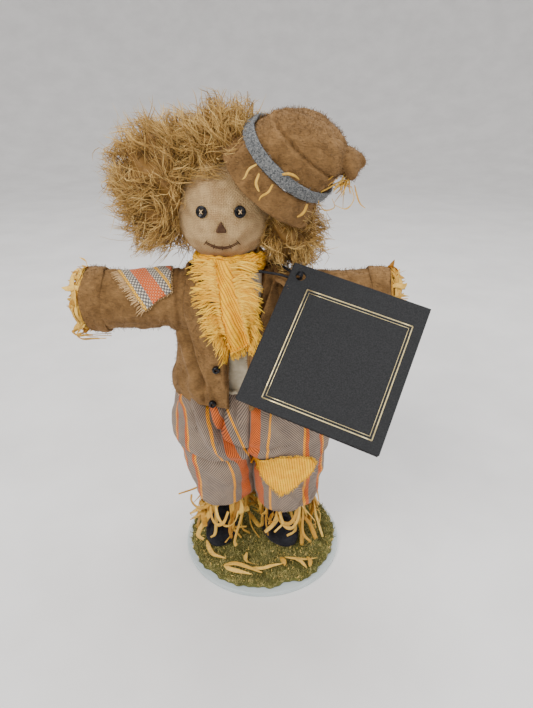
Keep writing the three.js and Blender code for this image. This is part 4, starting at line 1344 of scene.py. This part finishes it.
def make_neck_wrap():
    """The rolled part of the cloth round the neck, twisted into soft folds."""
    turns = around(220)[:, None]
    ring = around(64)[None, :]
    folds = 0.42 * np.sin(3 * ring + 4 * turns) + 0.22 * np.sin(5 * ring - 9 * turns)
    reach = 2.15 + folds + 0.16 * np.sin(23 * turns + ring)
    out = 9.9 + reach * np.cos(ring) * 0.9
    x = out * np.sin(turns)
    y = -out * np.cos(turns)
    z = reach * np.sin(ring) * 1.15 + 0.5 * np.cos(turns)
    grid = np.stack([x, y, z], -1) + NECK
    along = turns * 10 + 0 * ring
    uv = np.stack([along, ring * 2.4 + 0 * turns], -1)
    faces = grid_faces(220, 64, wrap_columns=True, wrap_rows=True)[:, ::-1]
    piece = new_piece("neckcloth_wrap_cotton", grid.reshape(-1, 3), faces, "yellow_cotton",
                      uv=uv.reshape(-1, 2))
    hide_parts("neckcloth_wrap")
    count = 90
    at = rng.uniform(-0.95, 0.95, count)
    root = NECK + np.stack([12.0 * np.sin(at), -12.0 * np.cos(at), rng.uniform(-1.5, 1.8, count)], -1)
    out = np.stack([np.sin(at), -np.cos(at), rng.normal(0, 0.5, count)], -1)
    size = rng.uniform(0.8, 2.6, (count, 1))
    side = np.stack([np.cos(at), np.sin(at), rng.normal(0, 0.4, count)], -1) * np.sign(at)[:, None]
    middle, tip = root + (out * 0.3 + side * 0.5) * size, root + (side * 1.3 - UP * 0.4) * size
    paths = np.stack([root - out * 0.6, middle, tip], 1)
    strips("neckcloth_wrap_fringe", resample(paths, 8), 0.32, 0.26, "yellow_yarn", sides=5)


# ---- head --------------------------------------------------------------------------------------------
def head_point(x, z, lift=0.0):
    """A place on the front of the head, `lift` above its skin."""
    dx, dz = (x - HEAD_CENTRE[0]) / (HEAD_RADII[0] + lift), (z - HEAD_CENTRE[2]) / (HEAD_RADII[2] + lift)
    y = HEAD_CENTRE[1] - (HEAD_RADII[1] + lift) * np.sqrt(np.clip(1 - dx**2 - dz**2, 0.02, 1))
    return np.stack([x + 0 * y, y, z + 0 * y], -1)


def make_head():
    rows, columns = 120, 200
    lat = np.linspace(-np.pi / 2 + 0.03, np.pi / 2 - 0.03, rows)[:, None]
    lon = around(columns, np.pi / 2)[None, :]
    ring = np.stack([np.cos(lat) * np.cos(lon), np.cos(lat) * np.sin(lon), np.sin(lat) + 0 * lon], -1)
    grid = HEAD_CENTRE + ring * (HEAD_RADII - 0.1)
    gather = 0.35 * np.sin(lon * 14) * smoothstep(-0.75, -1.2, lat)
    grid = grid + ring * (0.16 * waves(grid, 12, 101) + 0.08 * waves(grid, 4, 102) + gather)[..., None]
    uv_x = (lon - 1.5 * np.pi) * HEAD_RADII[0] * (0.55 + 0.45 * np.cos(lat))
    uv = np.stack([uv_x, lat * HEAD_RADII[2] + 0 * lon], -1)
    head = closed_body("head_hessian", grid, "hessian", uv=uv)
    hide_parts("head")


def turned_disc(name, profile, place, out, material, columns=44):
    """A closed turned shape with its axis along `out`; the profile gives radius and height."""
    side = unit(np.cross(UP, out))
    top = np.cross(out, side)
    flat = revolve(profile, columns)
    grid = place + flat[..., :1] * side + flat[..., 1:2] * top + flat[..., 2:] * out
    return closed_body(name, grid, material)


EYE_OFFSET, EYE_HEIGHT = 5.4, 135.0
MOUTH_HEIGHT, MOUTH_REACH, MOUTH_CURVE = 124.4, 4.8, 0.07


def make_eye(side):
    """A dark two-hole button, sewn on with a crossed thread."""
    place = head_point(HEAD_CENTRE[0] + way_of(side) * EYE_OFFSET, EYE_HEIGHT)
    out = unit((place - HEAD_CENTRE) / HEAD_RADII**2)
    profile = [
        (0.2, -0.35), (1.45, -0.35), (1.72, -0.05), (1.78, 0.25), (1.66, 0.55), (1.4, 0.66), (1.16, 0.52),
        (0.95, 0.36), (0.2, 0.3),
    ]
    eye = turned_disc(f"eye_{side}_button", profile, place + out * 0.15, out, "bead")
    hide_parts(f"eye_{side}")
    across = unit(np.cross(UP, out))
    top = np.cross(out, across)
    threads = []
    for slant in (0.9, -0.9):
        way = across * math.cos(slant) + top * math.sin(slant)
        base = place + out * 0.4
        steps = ((-0.75, 0), (-0.6, 0.25), (0, 0.34), (0.6, 0.25), (0.75, 0))
        threads.append([base + way * along + out * rise for along, rise in steps])
    threads = resample(threads, 11)
    strips(f"eye_{side}_thread", threads, 0.3, 0.24, "tan_yarn", tint=[0.9, 0.9])


def make_nose():
    corners = np.array([(-13.3, 129.2), (-9.7, 129.2), (-11.5, 132.7)])
    centre = corners.mean(0)
    outline = []
    for k in range(3):
        a, b = corners[k], corners[(k + 1) % 3]
        for share in np.linspace(0.12, 0.88, 12):
            outline.append(a * (1 - share) + b * share)
    outline = np.array(outline)
    rings = []
    for scale, depth in ((1.0, -0.3), (1.0, 0.5), (0.93, 0.8), (0.75, 1.0), (0.4, 1.15), (0.1, 1.2)):
        flat = centre + (outline - centre) * scale
        rings.append(head_point(flat[:, 0], flat[:, 1]) - np.array([0, depth, 0]))
    nose = closed_body("nose_felt", np.array(rings), "dark_felt")
    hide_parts("nose")


def make_mouth():
    offset = np.linspace(-MOUTH_REACH, MOUTH_REACH, 40)
    line = head_point(HEAD_CENTRE[0] + offset, MOUTH_HEIGHT + MOUTH_CURVE * offset**2, 0.25)
    floss = [line + rng.normal(0, 0.05, (1, 3)) + UP * shift for shift in (-0.16, 0.16)]
    mouth = strips("mouth_floss", floss, 0.42, 0.4, "dark_felt", sides=7)
    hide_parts("mouth_stitch")
    ticks = []
    for at in np.linspace(-MOUTH_REACH, MOUTH_REACH, 5):
        z = MOUTH_HEIGHT + MOUTH_CURVE * at**2
        slope = 2 * MOUTH_CURVE * at
        reach = np.linspace(-0.85, 0.85, 7)
        ticks.append(head_point(HEAD_CENTRE[0] + at - slope * reach, z + reach, 0.42))
    strips("mouth_cross_stitches", ticks, 0.36, 0.32, "dark_felt", sides=7)


# ---- hair --------------------------------------------------------------------------------------------
def face_is_near(points):
    """Where the space in front of the face is."""
    x, y, z = np.moveaxis(points, -1, 0)
    width = 10.6 - 0.11 * np.clip(z - 132, 0, 10) ** 1.4
    return (y < -7) & (np.abs(x - HEAD_CENTRE[0]) < width) & (z < 142.5) & (z > 116)


HAIR = {  # centre, radii, number of tufts, and the way they are swept
    "top": ((-12, 3, 148), (17, 13.5, 15), 210, (-0.4, 0, 0.8)),
    "right": ((-30, 2.5, 140), (16.5, 15, 20.5), 250, (-1.0, 0, 0.2)),
    "left": ((8.6, 0.5, 126.6), (10.6, 12, 11.2), 150, (0.5, 0, -0.4)),
    "back": ((-11, 12, 133), (15, 9.5, 14), 190, (0, 0.6, -0.3)),
}
FIBRES_PER_TUFT = 15


def make_hair(part, centre, radii, tufts, sweep):
    """A mass of tow: a rounded core, and tufts of fibres that fan out and come together at their tips."""
    centre, radii = np.array(centre, float), np.array(radii, float)
    core_grid = ball(centre, radii * 0.74, 50, 80)
    ring = unit((core_grid - centre) / radii)
    core_grid = core_grid + ring * (0.9 * waves(core_grid, 7, 111))[..., None]
    core = closed_body(f"hair_{part}_core", core_grid, "tow")
    heading = unit(rng.normal(size=(tufts * 3, 3)))
    tip_heading = unit(heading + 0.22 * rng.normal(size=heading.shape) + np.array(sweep) * 0.3)
    tip = centre + radii * tip_heading * rng.uniform(0.92, 1.16, (len(heading), 1))
    keep = ~face_is_near(tip) & (tip[:, 2] > 112)
    heading, tip, tip_heading = heading[keep][:tufts], tip[keep][:tufts], tip_heading[keep][:tufts]
    count = len(heading)
    root_heading = unit(heading[:, None] + 0.16 * rng.normal(size=(count, FIBRES_PER_TUFT, 3)))
    root = centre + radii * root_heading * 0.68
    stray = rng.uniform(0.4, 2.6, (count, FIBRES_PER_TUFT, 1))
    end = tip[:, None] + rng.normal(size=root.shape) * stray * 0.75
    end += (end - root) * rng.uniform(-0.12, 0.18, stray.shape)
    fly = rng.random(stray.shape) < 0.05
    end += np.where(fly, unit(end - centre) * rng.uniform(1, 4.0, stray.shape), 0)
    swirl = rng.normal(size=(count, 1, 3)) * 1.5 + rng.normal(size=root.shape) * 0.5
    middle = root * 0.55 + end * 0.45 + swirl + unit(root - centre) * 0.8
    near_tip = root * 0.2 + end * 0.8 + swirl * 0.55 + rng.normal(size=root.shape) * 0.3
    paths = np.stack([root, middle, near_tip, end], 2).reshape(-1, 4, 3)
    paths = paths[~face_is_near(paths).any(1)]
    # A random tone for each fibre, darkened towards its root inside the mass and lightened towards its tip: painted
    # shade deep in the hair and painted light at its outside.
    shade = np.clip(rng.normal(0.5, 0.2, (len(paths), 1)) + np.linspace(-0.32, 0.26, 8), 0, 1)
    wide = rng.uniform(0.16, 0.34, len(paths))
    strips(f"hair_{part}_fibres", resample(paths, 8), wide, 0.12, "tow", sides=3, taper=(0.9, 0.15),
           tint=shade)
    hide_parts(f"hair_{part}")


# ---- hat ---------------------------------------------------------------------------------------------
CROWN = Stations([
    [0, 1.3, 0, 14.3, 14], [4, 1.8, 0, 13.8, 13.6], [8, 2.6, 0, 12.8, 12.8], [11, 3.4, 0, 11.8, 11.8],
    [13.6, 4.6, 0, 9.4, 9.8], [15.4, 6.4, 0, 6, 6.6], [16.2, 7.2, 0, 2.2, 2.6],
], 0.5)


def make_hat():
    angle = around(96)[None, :]
    z = np.concatenate([np.linspace(-0.2, 13, 30), np.linspace(13.3, 16.4, 16)])[:, None]
    body = CROWN.point(angle, z)
    tip = ball((14.0, 0, 13.0), (4.4, 5.0, 3.6))
    nub = ball((16.4, -2.4, 11.9), (2.6, 2.4, 2.5))
    nub_above = ball((15.9, 2.2, 14.2), (2.9, 2.6, 2.2))

    def shape(points, normals):
        seam = 9.6 + 0.5 * np.sin(points[:, 1] * 0.3) - points[:, 2]
        push = 0.3 * waves(points, 13, 121) + 0.14 * waves(points, 4.5, 122)
        on_body = smoothstep(15.5, 13, points[:, 0])
        push -= (0.85 * bell(seam, 0.42) - 0.35 * bell(seam - 1.3, 0.8)) * on_body
        return hat_place(points + normals * push[:, None])

    crown = fused("hat_crown_felt", [body, tip, nub, nub_above], 0.42, "brown_felt", smooth=9, shape=shape)
    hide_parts("hat_crown")

    rows, columns = 34, 240
    angle = around(columns)[None, :]
    share = np.linspace(0, 1, rows)[:, None]
    local_z = -7.0 + 6.9 * share
    radius = np.interp(local_z, [-7, -6.5, -3, -0.1], [18.1, 17.7, 15.3, 14.3])
    ripple = (1 - share) * (0.55 * np.sin(3 * angle + 0.6) + 0.3 * np.sin(7 * angle))
    grid = np.stack([
        1.3 + (radius + ripple) * np.sin(angle), -(radius + ripple) * np.cos(angle),
        local_z + (1 - share) * (0.5 * np.sin(2 * angle + 1) + 0.35 * np.sin(5 * angle)),
    ], -1)
    grid = grid + unit(grid * [1, 1, 0]) * (0.16 * waves(grid, 5, 123))[..., None]
    brim = thick_sheet("hat_brim_felt", hat_place(grid), FELT, "brown_felt", wrap_columns=True)
    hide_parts("hat_brim")

    share = np.linspace(-1, 1, 24)[:, None]
    local_z = 2.2 + 2.0 * share + 0.2 * np.sin(2 * angle)
    band_grid = CROWN.point(angle, local_z, 1.35)
    out = level(angle)
    band_grid = band_grid + out * (0.12 * waves(band_grid, 4, 124) - 0.25 * np.abs(share) ** 6)[..., None]
    band = thick_sheet("hat_band_felt", hat_place(band_grid), BAND_FELT, "grey_felt", wrap_columns=True)
    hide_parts("hat_band")
    for piece, count in ((crown, 4600), (brim, 2600)):
        fuzz(piece, count, 1.1, "brown_felt")
    fuzz(band, 1500, 0.7, "grey_felt")


def make_hat_straws():
    """Bits of raffia tucked under the band, and a straggling tuft at the soft tip."""
    bits = {
        "hat_straw_1": [
            [(-5.4, -15.9, 1.0), (-6.2, -17.1, -0.9), (-5.7, -17.9, -3.0), (-5.9, -18.0, -4.0)],
            [(-3.4, -16.4, -0.2), (-2.6, -17.4, -2.2), (-1.2, -18.0, -3.0), (-0.4, -18.2, -3.2)],
            [(1.2, -16.1, 0.0), (1.6, -17.2, -2.0), (0.9, -18.0, -4.0), (1.1, -18.4, -5.2)],
        ],
        "hat_straw_2": [
            [(1.4, -15.2, 3.5), (2.6, -15.2, 4.9), (4.2, -14.7, 5.4), (5.8, -14.0, 5.2)],
            [(12.4, -12.0, 0.6), (13.2, -12.6, -1.4), (13.0, -13.3, -2.8), (12.6, -13.5, -3.6)],
        ],
    }
    for node, routes in bits.items():
        paths = hat_place(resample(routes, 12))
        facing = hat_place(np.array([[0, -1.0, 0.2]])) - HAT_CENTRE
        wide = rng.uniform(0.55, 0.9, len(paths))
        piece = strips(f"{node}_raffia", paths, wide, 0.2, "straw", sides=8, taper=(0.7, 0.3),
                       facing=np.repeat(facing[None], len(paths), 0), tint=rng.uniform(0.3, 0.7, len(paths)))
        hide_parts(node)
    root = np.array([17.0, -3.4, 10.6])
    routes = []
    for _ in range(26):
        start = root + rng.normal(0, [1.0, 0.6, 0.7])
        way = unit(np.array([0.35, -0.55, -1.0]) + rng.normal(0, 0.36, 3))
        size = rng.uniform(2.0, 6.0)
        curl = rng.normal(0, 1.0, 3)
        steps = ((0, 0), (0.4, 0), (0.8, 0.5), (1, 1))
        routes.append([start + way * size * far + curl * bent for far, bent in steps])
    loops = [
        [(16.0, -4.4, 9.6), (14.6, -6.4, 6.4), (13.6, -7.6, 3.4), (15.4, -8.0, 1.2)],
        [(15.4, -8.0, 1.2), (18.2, -7.8, 1.0), (19.6, -6.8, 3.2), (17.4, -6.2, 4.4)],
        [(19.4, -3.8, 9.8), (22.2, -5.0, 8.2), (22.4, -6.6, 5.2), (19.0, -7.2, 3.8)],
        [(19.8, -3.2, 10.6), (22.6, -4.0, 9.0), (24.6, -4.8, 8.4), (26.4, -5.2, 8.6)],
        [(13.2, -6.3, 10.8), (12.6, -8.0, 9.4), (12.2, -8.6, 8.0), (12.0, -8.8, 7.0)],
        [(14.4, -6.0, 10.8), (14.0, -7.6, 9.2), (13.6, -8.4, 8.0), (13.6, -8.6, 7.2)],
    ]
    paths = hat_place(resample(routes + loops, 18))
    wide = np.append(rng.uniform(0.25, 0.55, len(routes)), np.full(len(loops), 0.5))
    tuft = strips("hat_tuft_raffia", paths, wide, 0.2, "straw", tint=rng.uniform(0.2, 0.8, len(paths)))
    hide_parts("hat_tuft")


# ---- raffia at the cuffs and ankles --------------------------------------------------------------------
def make_cuff_straw(side):
    """A ring of raffia wound round the sleeve's end, with stubs and curls that stray from it."""
    _, outer = ARMS[side]
    way = way_of(side)
    axis = np.array([0, 0, ARM_HEIGHT])
    routes, facing, wide, ends = [], [], [], []

    def spoke(at):
        return np.array([0, math.cos(at), math.sin(at)])

    def lay(route, face, width, end=0.7):
        routes.append(np.array(route))
        facing.append(np.asarray(face, float))
        wide.append(width)
        ends.append(end)

    for _ in range(40):
        start, sweep = rng.uniform(0, 2 * np.pi), rng.uniform(0.8, 2.6) * rng.choice([-1, 1])
        turns = start + np.linspace(0, sweep, 5)
        reach = rng.uniform(9.3, 10.5) + rng.normal(0, 0.25, 5)
        x = outer + way * (rng.uniform(-0.6, 1.8) + rng.normal(0, 0.35, 5))
        lay(np.stack([x, reach * np.cos(turns), reach * np.sin(turns)], -1) + axis,
            spoke(start + sweep / 2) + [way * 0.5, 0, 0], rng.uniform(1.0, 2.2))
    for _ in range(46):
        at, tilt = rng.uniform(0, 2 * np.pi), rng.uniform(0, 2 * np.pi)
        middle = axis + rng.uniform(0, 6.5) * spoke(at)
        middle = middle + [outer + way * rng.uniform(-0.9, 1.6), 0, 0]
        half = (spoke(tilt) + [way * rng.uniform(-0.1, 0.25), 0, 0]) * rng.uniform(1.5, 4.0)
        bow = np.array([way * rng.uniform(0.2, 1.4), 0, 0])
        steps = ((-1, 0), (-0.5, 0.8), (0, 1), (0.5, 0.8), (1, 0))
        lay([middle + half * far + bow * bent for far, bent in steps],
            [way, 0, 0] + rng.normal(0, 0.3, 3), rng.uniform(1.2, 2.4))
    for _ in range(80):
        radial = spoke(rng.uniform(0, 2 * np.pi))
        root = axis + radial * rng.uniform(6.5, 10.2) + [outer - way * 0.8, 0, 0]
        heading = np.array([way * rng.uniform(0.7, 1.8), 0, 0]) + radial * rng.uniform(0.0, 0.9)
        heading = unit(heading + rng.normal(0, 0.35, 3)) * rng.uniform(2.4, 5.6)
        kink = rng.normal(0, 0.5, 3)
        steps = ((0, 0), (0.3, 0), (0.55, 1), (0.8, 0.6), (1, 0))
        route = [root + heading * far + kink * bent for far, bent in steps]
        lay(route, radial + rng.normal(0, 0.6, 3), rng.uniform(0.8, 2.0), 0.12)
    for _ in range(7):
        at = -np.pi / 2 + rng.normal(0, 0.6)
        radial = spoke(at) - [0, 0.4, 0]
        root = axis + radial * 9.8 + [outer + way * 0.6, 0, 0]
        drift = np.array([-way * rng.uniform(3, 9), -1.0, -1.0])
        bends = np.array([
            (0, 0, 0), (way * 1.6, 0, -1.0), (0, -0.6, -2.0), drift * 0.6 - UP * 1.2, drift - UP * 0.6,
        ])
        lay(root + bends, radial, rng.uniform(0.8, 1.5))
    straw = strips(f"straw_cuff_{side}_raffia", resample(routes, 22), wide, 0.2, "straw", sides=8,
                   facing=np.array(facing)[:, None], twist=rng.normal(0, 0.5, len(routes)), taper=(0.7, ends))
    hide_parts(f"straw_cuff_{side}")


def clear_of_boots(points):
    """The points, moved out of both boots where they are inside them."""
    for (x, y), heading in FEET.values():
        turn = math.radians(heading)
        centre = np.array([x + 4.4 * math.sin(turn), y - 4.4 * math.cos(turn), TURF_TOP + 2.6])
        gap = points - centre
        across = gap[..., 0] * math.cos(turn) + gap[..., 1] * math.sin(turn)
        along = -gap[..., 0] * math.sin(turn) + gap[..., 1] * math.cos(turn)
        share = np.sqrt((across / 7.1) ** 2 + (along / 10.4) ** 2 + (gap[..., 2] / 7.0) ** 2)
        points = centre + gap / np.minimum(share, 1)[..., None].clip(0.2)
        gap = points - np.array([x, y, 0])
        reach = np.linalg.norm(gap[..., :2], axis=-1)
        push = np.where(reach < 6.0, 6.0 / np.maximum(reach, 0.5), 1.0)
        points = np.stack([x + gap[..., 0] * push, y + gap[..., 1] * push, points[..., 2]], -1)
    points[..., 2] = np.maximum(points[..., 2], TURF_TOP + 0.25)
    return points


def make_ankle_straw(side):
    """Raffia that hangs out of the trouser hem, down over the boot to the turf."""
    (x, y), _ = FEET[side]
    centre, _, wide_leg, deep_leg = (float(value) for value in LEGS[side].at(25.0))
    routes, facing, wide = [], [], []
    for angle in around(38):
        at = angle + rng.normal(0, 0.25)
        out, across = level(at), level(at + np.pi / 2)
        lean = across * rng.normal(0, 5.2)
        root = np.array([centre, 0, 27.0]) + out * [wide_leg - 1.9, deep_leg - 1.9, 0]
        knee = root + out * rng.uniform(0.0, 2.2) + lean * 0.3 + [0, 0, rng.uniform(-9, -4)]
        low = root + out * rng.uniform(-0.6, 4.2) + lean * rng.uniform(0.5, 1.4)
        low = low + UP * rng.uniform(-17, -7)
        end = low + out * rng.uniform(-0.5, 3.6) + across * rng.normal(0, 2.4) + [0, 0, rng.uniform(-6.5, -1)]
        if rng.random() < 0.25:
            end = low + across * rng.normal(0, 4.0) + out + [0, 0, rng.uniform(-2.0, 3.0)]
        routes.append([root, root * 0.5 + knee * 0.5 + out * 0.3, knee, low, end])
        facing.append(out + rng.normal(0, 0.45, 3))
        wide.append(rng.uniform(0.7, 2.5))
    for _ in range(5):
        at = rng.uniform(-1.5, 1.5)
        out = level(at)
        side_way = level(at + np.pi / 2) * rng.choice([-1, 1])
        root = np.array([centre, 0, 25.4]) + out * [wide_leg - 1.0, deep_leg - 1.0, 0]
        span = rng.uniform(5, 11)
        dip = rng.uniform(3, 9)
        bends = ((0, 0, 0), (1.8, 0.2, dip * 0.7), (2.4, 0.5, dip), (1.6, 0.8, dip * 0.7), (0, 0.9, 0.6))
        routes.append([root + out * far + side_way * span * along - UP * down for far, along, down in bends])
        facing.append(out)
        wide.append(rng.uniform(0.9, 1.8))
    paths = clear_of_boots(resample(routes, 24))
    straw = strips(f"straw_ankle_{side}_raffia", paths, wide, 0.22, "straw", sides=8,
                   facing=np.array(facing)[:, None], twist=rng.normal(0, 1.0, len(routes)), taper=(0.8, 0.75))
    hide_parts(f"straw_ankle_{side}")


def make_ground_straws():
    lying = {
        "ground_straw_1": [
            [(-14.5, -20.6, 5.2), (-10.0, -20.4, 5.7), (-5.0, -22.0, 5.3), (0.0, -24.2, 5.0)],
            [(-14.5, -20.6, 5.0), (-12.0, -22.4, 5.0), (-8.0, -23.8, 5.1), (-4.0, -24.8, 4.9)],
            [(-5.0, -22.0, 5.2), (0.0, -22.0, 5.0), (4.0, -20.8, 5.1), (8.0, -19.8, 5.0)],
        ],
        "ground_straw_2": [
            [(7.0, -17.2, 5.6), (7.8, -19.0, 6.2), (8.4, -20.6, 6.0), (8.2, -21.2, 5.2)],
            [(8.6, -17.0, 5.4), (13.0, -17.6, 5.3), (17.0, -17.8, 5.2), (21.0, -17.0, 5.0)],
            [(12.0, -17.6, 5.3), (14.4, -19.0, 5.6), (16.0, -20.8, 5.2), (16.8, -22.0, 5.0)],
            [(17.2, -17.0, 5.6), (18.2, -19.0, 5.6), (18.0, -20.6, 5.2), (17.8, -21.4, 5.0)],
        ],
        "ground_straw_3": [
            [(-22.0, -9.6, 6.8), (-20.6, -13.0, 5.4), (-18.6, -15.6, 5.2), (-14.0, -17.4, 5.1)],
            [(-6.0, -15.2, 6.0), (-6.4, -18.0, 5.4), (-4.8, -19.6, 5.2), (-1.4, -20.6, 5.1)],
        ],
    }
    for node, routes in lying.items():
        count = len(routes)
        paths = resample(routes, 20)
        piece = strips(f"{node}_raffia", paths, rng.uniform(1.1, 2.0, count), 0.24, "straw", sides=8,
                       facing=np.repeat(UP[None, None], count, 0), twist=rng.normal(0, 0.8, count),
                       taper=(0.4, 0.3), tint=rng.uniform(0.45, 0.9, count))
        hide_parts(node)


# ---- tag and its cord ----------------------------------------------------------------------------------
TAG_CORNER = np.array([10, -11.1, 119.4])
TAG_TILT = Euler([math.radians(turn) for turn in (-42, 19, -5.4)], "YXZ")
TAG_ACROSS, TAG_INWARD, TAG_UP = np.array(TAG_TILT.to_matrix()).T
TAG_DOWN = -TAG_UP
TAG_WIDTH, TAG_HEIGHT, HOLE_INSET = 42.5, 45.2, 3.6


def on_tag(across, inward, down):
    across, inward, down = (np.asarray(value, float)[..., None] for value in (across, inward, down))
    return TAG_CORNER + across * TAG_ACROSS + inward * TAG_INWARD + down * TAG_DOWN


def make_leaf(side):
    """A leaf of the card with softened edges."""
    node = f"tag_{side}_leaf"
    form = bmesh.new()
    form.from_mesh(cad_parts[node].data)
    bmesh.ops.remove_doubles(form, verts=form.verts, dist=1e-6)
    bmesh.ops.dissolve_limit(form, angle_limit=math.radians(2), verts=form.verts, edges=form.edges)
    sharp = [edge for edge in form.edges if edge.calc_face_angle(0) > math.radians(40)]
    bmesh.ops.bevel(form, geom=sharp, offset=0.11 * MM, segments=3, affect="EDGES", profile=0.6)
    data = bpy.data.meshes.new(f"{node}_card")
    form.to_mesh(data)
    form.free()
    data.materials.append(MATERIALS["card"])
    leaf = bpy.data.objects.new(f"{node}_card", data)
    bpy.context.scene.collection.objects.link(leaf)
    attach(leaf, f"tag_{side}")
    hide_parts(node)


def make_rule():
    """A thin gold rule printed round the front leaf."""
    near, far = 7.0, 3.2  # from the fold and top, and from the other two edges
    middle = np.array([near + TAG_WIDTH - far, near + TAG_HEIGHT - far]) / 2
    half = np.array([TAG_WIDTH - far - near, TAG_HEIGHT - far - near]) / 2
    corners = np.array([(-1, -1), (1, -1), (1, 1), (-1, 1), (-1, -1)])
    for label, inset, wide in (("outer", 0.0, 0.34), ("inner", 0.9, 0.16)):
        turns = middle + corners * (half - inset)
        routes = [
            on_tag(np.linspace(a[0], b[0], 8), np.full(8, -0.655), np.linspace(a[1], b[1], 8))
            for a, b in zip(turns, turns[1:])
        ]
        strips(f"tag_rule_{label}", routes, wide, 0.03, "gold",
               facing=np.repeat(TAG_INWARD[None, None], 4, 0), taper=(1, 1), body="tag_front")


def make_fold():
    """The creased strip that joins the two leaves."""
    down = np.linspace(0.25, TAG_HEIGHT - 0.25, 60)
    spine = on_tag(np.full(60, 0.5), np.zeros(60), down)[None]
    strips("tag_fold_crease", spine, 1.3, 1.0, "card", sides=16, facing=TAG_ACROSS[None, None],
           taper=(0.85, 0.85), body="tag_back")


CORD_CENTRE, CORD_LOOP, CORD_THICKNESS = np.array([-9.6, -0.5, 116.3]), 12.6, 0.8


def make_cord():
    """Thin round elastic: through the card's hole and once round the neck."""
    loop = np.radians([-48, *range(-70, -346, -25), -362])
    hole = [on_tag(HOLE_INSET, inward, HOLE_INSET) for inward in (-1.0, 0.2, 1.3)]
    round_neck = CORD_CENTRE + CORD_LOOP * np.stack([np.cos(loop), np.sin(loop), 0 * loop], -1)
    there = [(11.1, -12.3, 114.7), (9.0, -12.6, 115.1), (5.4, -11.6, 115.9)]
    back = [(6.2, -4.6, 116.6), (9.6, -9.6, 116), (11.4, -11.5, 115.9)]
    route = np.array([*hole, *there, *round_neck, *back], float)
    path = resample(route, 420)
    cord = strips("tag_cord_elastic", path[None], CORD_THICKNESS, CORD_THICKNESS, "elastic", sides=14, taper=(1, 1))
    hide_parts("tag_cord")
    turns = np.linspace(0, 2 * np.pi, 90)[:, None]
    knot = np.concatenate([
        np.sin(turns) + 2 * np.sin(2 * turns), np.cos(turns) - 2 * np.cos(2 * turns), -np.sin(3 * turns),
    ], 1) * 0.21
    place = on_tag(HOLE_INSET, -1.75, HOLE_INSET)
    knot = place + knot[:, :1] * TAG_ACROSS + knot[:, 1:2] * TAG_DOWN + knot[:, 2:] * TAG_INWARD
    knot_piece = strips("tag_cord_knot", knot[None], 0.5, 0.5, "elastic", sides=10, taper=(1, 1))
    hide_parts("tag_knot")


# ---- the whole figure --------------------------------------------------------------------------------
place_camera()
place_lights_and_floor()
make_cord()
make_base()
make_turf()
for side in FEET:
    make_boot(side)
make_padding()
trousers = make_trousers()
shirt = make_shirt()
make_shirt_tail()
jacket, lapels, sleeves = make_jacket()
for side in ARMS:
    make_arm(side)
make_knee_patch(trousers)
make_elbow_patch(sleeves["right"][0])
make_neckcloth([jacket, shirt, *lapels.values()])
make_neck_wrap()
make_head()
for side in FEET:
    make_eye(side)
make_nose()
make_mouth()
for part, mass in HAIR.items():
    make_hair(part, *mass)
make_hat()
make_hat_straws()
for side in ARMS:
    make_cuff_straw(side)
for side in FEET:
    make_ankle_straw(side)
make_ground_straws()
for side in ("front", "back"):
    make_leaf(side)
make_rule()
make_fold()
for node in ("leg_peg_right", "leg_peg_left", "spine_post", "arm_crossbar"):
    dress(node, "dowel")
